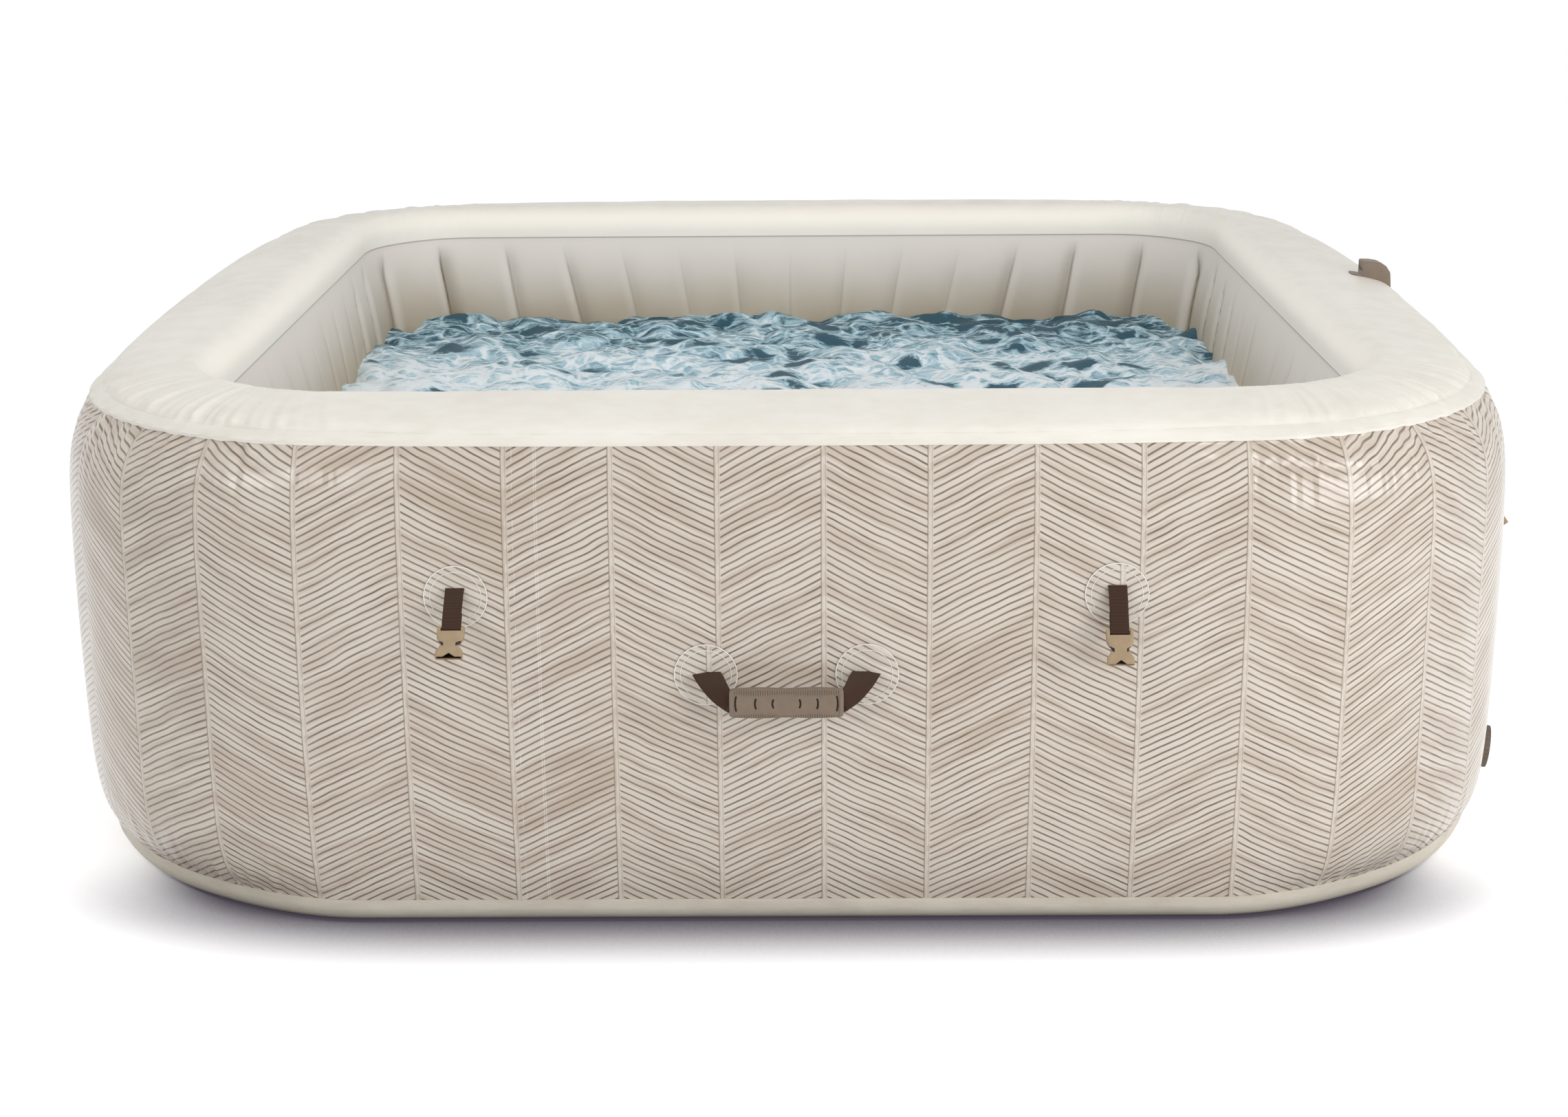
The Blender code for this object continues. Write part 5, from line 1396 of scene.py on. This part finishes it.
# %% Dock
def cleaned(name, node, material):
    """A copy of a node with its corners welded and its flat faces joined up."""
    mesh = frame["nodes"][node].data.copy()
    bm = bmesh.new()
    bm.from_mesh(mesh)
    bmesh.ops.remove_doubles(bm, verts=bm.verts, dist=1e-6)
    bmesh.ops.dissolve_limit(bm, angle_limit=math.radians(1.0), verts=bm.verts, edges=bm.edges)
    bm.to_mesh(mesh)
    bm.free()
    mesh.shade_smooth()
    mesh.set_sharp_from_angle(angle=math.radians(40))
    mesh.materials.clear()
    mesh.materials.append(material)
    return put(name, mesh)


DOCK_FULL, DOCK_SINK, TONGUE_LIFT, SLOT_SHARE = 3.2, 0.009, 0.0015, 0.55
DOCK_ROUND, TONGUE_ROUND = 0.0032, 0.012
ROUNDED = {"profile": 0.5, "affect": "EDGES", "clamp_overlap": True}


def fuller_dock(place):
    """The node's points, moved: the quarter ellipse of the top becomes a fuller curve with a steep end that
    is sunk into the rim, the tongue is lifted clear of the rim, and the slot is narrowed."""
    top, drop = dock_high[2], dock_high[2] - dock_low[2]
    face = place[place[:, 2] > top - 0.0001, 0].min()
    share = np.clip((place[:, 0] - face) / (dock_high[0] - face), 0, 1)
    ellipse = top - drop + drop * np.sqrt(1 - share**2)
    on_top = (np.abs(place[:, 2] - ellipse) < 0.0005) & (place[:, 0] > face - 0.0001)
    full = top - drop + drop * (1 - share**DOCK_FULL) ** (1 / DOCK_FULL) - DOCK_SINK * (share > 0.999)
    under = ~on_top & (place[:, 2] < top - 0.018)
    slot = np.abs(place[:, 1] - (dock_low[1] + dock_high[1]) / 2) < 0.0145
    middle = (place[slot, 2].min() + place[slot, 2].max()) / 2
    height = np.where(on_top, full, place[:, 2] - DOCK_SINK * under * share)
    height += TONGUE_LIFT * (place[:, 0] < face - 0.001)
    height = np.where(slot, middle + SLOT_SHARE * (place[:, 2] - middle), height)
    return np.column_stack([place[:, :2], height]), face


def make_dock():
    """The moved node with the edges of its top and the two corners of its tongue rounded."""
    mesh = frame["nodes"]["rim_dock"].data.copy()
    flat = np.empty(3 * len(mesh.vertices))
    mesh.vertices.foreach_get("co", flat)
    place, face = fuller_dock(flat.reshape(-1, 3))
    mesh.vertices.foreach_set("co", place.ravel())
    bm = bmesh.new()
    bm.from_mesh(mesh)
    bmesh.ops.remove_doubles(bm, verts=bm.verts, dist=1e-6)
    bmesh.ops.dissolve_limit(bm, angle_limit=math.radians(1.0), verts=bm.verts, edges=bm.edges)
    sharp = [edge for edge in bm.edges if edge.is_manifold and edge.calc_face_angle() > math.radians(50)]
    sides = (dock_low[1] + 0.001, dock_high[1] - 0.001)
    outer = [edge for edge in sharp if all(not sides[0] < vert.co.y < sides[1] for vert in edge.verts)]
    high = [edge for edge in outer if all(vert.co.z > dock_low[2] + 0.0185 for vert in edge.verts)]
    body = [edge for edge in high if all(vert.co.x > face - 0.0001 for vert in edge.verts)]
    tips = [edge for edge in outer if all(vert.co.x < dock_low[0] + 0.0001 for vert in edge.verts)]
    tips = [edge for edge in tips if abs(edge.verts[0].co.y - edge.verts[1].co.y) < 0.0001]
    bmesh.ops.bevel(bm, geom=tips, offset=TONGUE_ROUND, segments=8, **ROUNDED)
    body = [edge for edge in body if edge.is_valid]
    bmesh.ops.bevel(bm, geom=body, offset=DOCK_ROUND, segments=5, **ROUNDED)
    bm.to_mesh(mesh)
    bm.free()
    mesh.shade_smooth()
    mesh.set_sharp_from_angle(angle=math.radians(40))
    mesh.materials.clear()
    mesh.materials.append(taupe_moulding)
    print("dock:", len(mesh.polygons), "faces,", len(body), "edges and", len(tips), "corners rounded")
    return put("dock", mesh)


dress(make_dock(), "tub", "taupe_plastic", "rim_dock")

# %% [markdown]
# ## Under the water and inside the wall
# The floor is a flat sheet whose edge is welded to the band, and round it lies the bubble channel, an arch
# of vinyl. Inside the wall a web of cloth zigzags between the two skins, and a hose leads air down to the
# channel.


# %% Floor and bubble channel
def make_floor_sheet():
    """A sheet over rings from its middle to its edge, with a slight swell."""
    edge = coarse.foot + coarse.out * (INNER_HALF + 0.014 - CORE_HALF)
    share = np.linspace(0, 1, 30)
    flat = edge[:, None, :] * share[None, :, None]
    swell = 0.0022 + 0.0006 * np.sin(6 * math.pi * share)[None, :] * (1 - share)[None, :] + 0 * flat[..., 0]
    top = np.concatenate([flat, swell[..., None]], -1)
    under = np.concatenate([flat[:, ::-1], np.full((*flat.shape[:2], 1), 0.0004)], -1)
    points = np.concatenate([top, under], axis=1)
    return surface("floor_vinyl", points, greige_plain, wrap=(True, False), weld=True)


def make_bubble_channel():
    """A half ring of vinyl, thin, on the floor."""
    turn = np.linspace(0, math.pi, 21)
    middle = INNER_HALF - 0.055
    profile = np.stack([middle + 0.030 * np.cos(turn), 0.0035 + 0.022 * np.sin(turn)], -1)
    relief = 0.0008 * folds(coarse.arc, (0.045, 0.070), 31)[:, None] * np.sin(turn)[None, :]
    return skin("bubble_channel", coarse, profile, relief, greige_plain)


greige_plain = make_cream_vinyl("greige_plain", tint(206, 198, 188), tint(184, 174, 160))
dress(make_floor_sheet(), "tub", "greige_vinyl", "floor_sheet")
dress(make_bubble_channel(), "tub", "greige_vinyl", "bubble_ring")


# %% Web and hose
def make_cloth():
    """Web cloth: pale, with a faint unevenness of its threads."""
    finish = Finish("web_cloth", Specular_IOR_Level=0.2)
    weave = finish.place.noise(240.0, 2.0)
    colour = weave.mix(tint(228, 228, 224), tint(205, 205, 200))
    return finish.wear(Base_Color=colour, Roughness=0.7 + 0.2 * weave)


def make_hose():
    """A soft tube along a cubic curve from the air port to the foot of the pool wall."""
    seat = side_frame(1, 0.150, PORT_HEIGHT)
    start = carried(np.array([0.0, 0.0403, 0.0]), seat)
    foot = INNER_HALF + 2 * SKIN + 2 * FIT
    down = (start[0] - foot) / 2
    bend = [foot + 2 * down, start[1], 0.040]
    ahead = np.array([start, start + seat[:3, 1] * down, bend, [foot, start[1], 0.040]])
    t = np.linspace(0, 1, 60)[:, None]
    s = 1 - t
    path = s**3 * ahead[0] + 3 * s * s * t * ahead[1] + 3 * s * t * t * ahead[2] + t**3 * ahead[3]
    run = np.gradient(path, axis=0)
    run /= np.linalg.norm(run, axis=1, keepdims=True)
    level = np.tile([0.0, 1.0, 0.0], (60, 1))
    up = np.cross(run, level)
    angle = np.linspace(0, 2 * math.pi, 33)[None, :-1, None]
    spoke = level[:, None] * np.cos(angle) + up[:, None] * np.sin(angle)
    outer, inner = path[:, None] + 0.014 * spoke, path[:, None] + 0.012 * spoke
    return surface("air_hose", np.concatenate([outer, inner[::-1]]), weld_vinyl)


WEB_ROOM = 0.022


def clear_of_creases(piece):
    """Moves the edge that meets the pool skin back behind its creases, and less the nearer a point lies to
    the outer wall, where it stays."""
    flat = np.empty(3 * len(piece.data.vertices))
    piece.data.vertices.foreach_get("co", flat)
    place = flat.reshape(-1, 3)
    height = place[:, 2]
    out = place[:, :2] - np.clip(place[:, :2], -CORE_HALF, CORE_HALF)
    reach = np.linalg.norm(out, axis=1)
    near, far = inner_half(height) - CORE_HALF, wall_half(height) - CORE_HALF
    room = WEB_ROOM + CORNER_ROOM * np.clip((height - ROOM_FOOT) / (INNER_SEAM - ROOM_FOOT), 0, 1)
    push = room * np.clip((far - reach) / (far - near), 0, 1)
    place[:, :2] += out * (push / reach)[:, None]
    piece.data.vertices.foreach_set("co", place.ravel())
    return piece


web_cloth = make_cloth()
web = clear_of_creases(cleaned("web_strips", "tension_web", web_cloth))
dress(web, "tub", "web_fabric", "tension_web")
dress(make_hose(), "tub", "clear_vinyl", "air_tube")

# %% [markdown]
# ## Light, floor and camera
# A product shot on white: a large soft light from above, lower ones at both sides for the glints on the
# corners, and a white world. The floor keeps the real shadow, with a painted shadow added near the tub,
# mostly in front, and glows towards the camera where nothing shades it.

# %% Studio
CAMERA_PLACE = (0.0193, -4.1766, 1.4468)
CAMERA_PITCH, CAMERA_YAW, CAMERA_ROLL = 0.2863, -0.0069, -0.0068
FOCAL_PIXELS, IMAGE_WIDTH = 3602.0, 2280


def make_camera():
    """The camera looks along yaw and pitch, rolled a little, with the photograph's angle of view."""
    sin_y, cos_y = math.sin(CAMERA_YAW), math.cos(CAMERA_YAW)
    sin_p, cos_p = math.sin(CAMERA_PITCH), math.cos(CAMERA_PITCH)
    ahead = Vector((sin_y * cos_p, cos_y * cos_p, -sin_p))
    right = Vector((cos_y, -sin_y, 0.0))
    up = right.cross(ahead)
    tilted = right * math.cos(CAMERA_ROLL) + up * math.sin(CAMERA_ROLL)
    upright = up * math.cos(CAMERA_ROLL) - right * math.sin(CAMERA_ROLL)
    data = bpy.data.cameras.new("camera")
    data.sensor_fit = "HORIZONTAL"
    data.sensor_width = 36.0
    data.lens = 36.0 * FOCAL_PIXELS / IMAGE_WIDTH
    camera = bpy.data.objects.new("camera", data)
    axes = Matrix((tilted, upright, -ahead)).transposed().to_4x4()
    camera.matrix_world = Matrix.Translation(CAMERA_PLACE) @ axes
    bpy.context.scene.collection.objects.link(camera)
    bpy.context.scene.camera = camera


def make_light(name, place, target, size, power):
    """A rectangular soft light that looks at a target."""
    data = bpy.data.lights.new(name, "AREA")
    data.shape = "RECTANGLE"
    data.size, data.size_y = size
    data.energy = power
    light = bpy.data.objects.new(name, data)
    ahead = Vector(target) - Vector(place)
    light.matrix_world = Matrix.Translation(place) @ ahead.to_track_quat("-Z", "Y").to_matrix().to_4x4()
    bpy.context.scene.collection.objects.link(light)


def seen_rays(tree):
    """1 for rays from the camera, in reflections and through glass, and 0 for those that light the tub."""
    path = tree.nodes.new("ShaderNodeLightPath")
    rays = [Wire(tree, path.outputs["Is " + kind + " Ray"]) for kind in ("Camera", "Glossy", "Transmission")]
    return rays[0] + rays[1] + rays[2]


def make_world():
    """White to the camera and in reflections, and a softer white as light."""
    world = bpy.data.worlds.new("studio")
    world.use_nodes = True
    tree = world.node_tree
    sky = tree.nodes["Background"]
    sky.inputs["Color"].default_value = (1.0, 1.0, 1.0, 1.0)
    level = 0.58 + 0.42 * seen_rays(tree)
    tree.links.new(level.socket, sky.inputs["Strength"])
    bpy.context.scene.world = world


def make_floor():
    """A wide pale floor with a painted shadow: its colour is darker where the tub stands close over it,
    mostly in front, on top of its real shading, with a glow that only the camera sees."""
    finish = Finish("studio_floor", Roughness=0.9, Specular_IOR_Level=0.0)
    y = finish.place.parts()[1]
    # painted shadow: ambient occlusion darkens the floor's colour near the tub, fully in front and only a
    # little elsewhere
    near = finish.place.node("AmbientOcclusion", {"samples": 16}, {"Distance": 0.24}, output=1)
    clear_of_painted_shadow = 1 - (1 - near) * (0.06 + 0.94 * (0 - y).step(0.72, 1.05))
    colour = clear_of_painted_shadow.step(0.40, 0.97).mix((0.080, 0.070, 0.092, 1.0), (0.95, 0.95, 0.955, 1.0))
    glow = seen_rays(finish.tree) * 0.48
    finish.wear(Base_Color=colour, Emission_Color=colour, Emission_Strength=glow)
    reach = np.linspace(-14, 14, 8)
    spots = np.stack(np.meshgrid(reach, reach, indexing="ij"), -1)
    points = np.concatenate([spots, np.full((8, 8, 1), -0.0005)], -1)
    floor = surface("floor", points, finish.material, wrap=(False, False))
    if floor.data.polygons[0].normal.z < 0:
        floor.data.flip_normals()


make_camera()
make_world()
make_floor()
make_light("top_light", (-0.2, -0.8, 3.0), (0.0, -0.3, 0.5), (3.2, 2.2), 19)
make_light("right_light", (2.9, -3.2, 1.15), (0.6, -0.8, 0.50), (2.2, 1.0), 38)
make_light("right_glint", (2.5, -3.4, 2.45), (0.7, -0.9, 0.60), (2.4, 0.34), 20)
make_light("left_light", (-1.9, -3.3, 1.62), (-0.6, -1.05, 0.62), (1.6, 0.60), 12)
bpy.context.scene.view_settings.view_transform = "Standard"
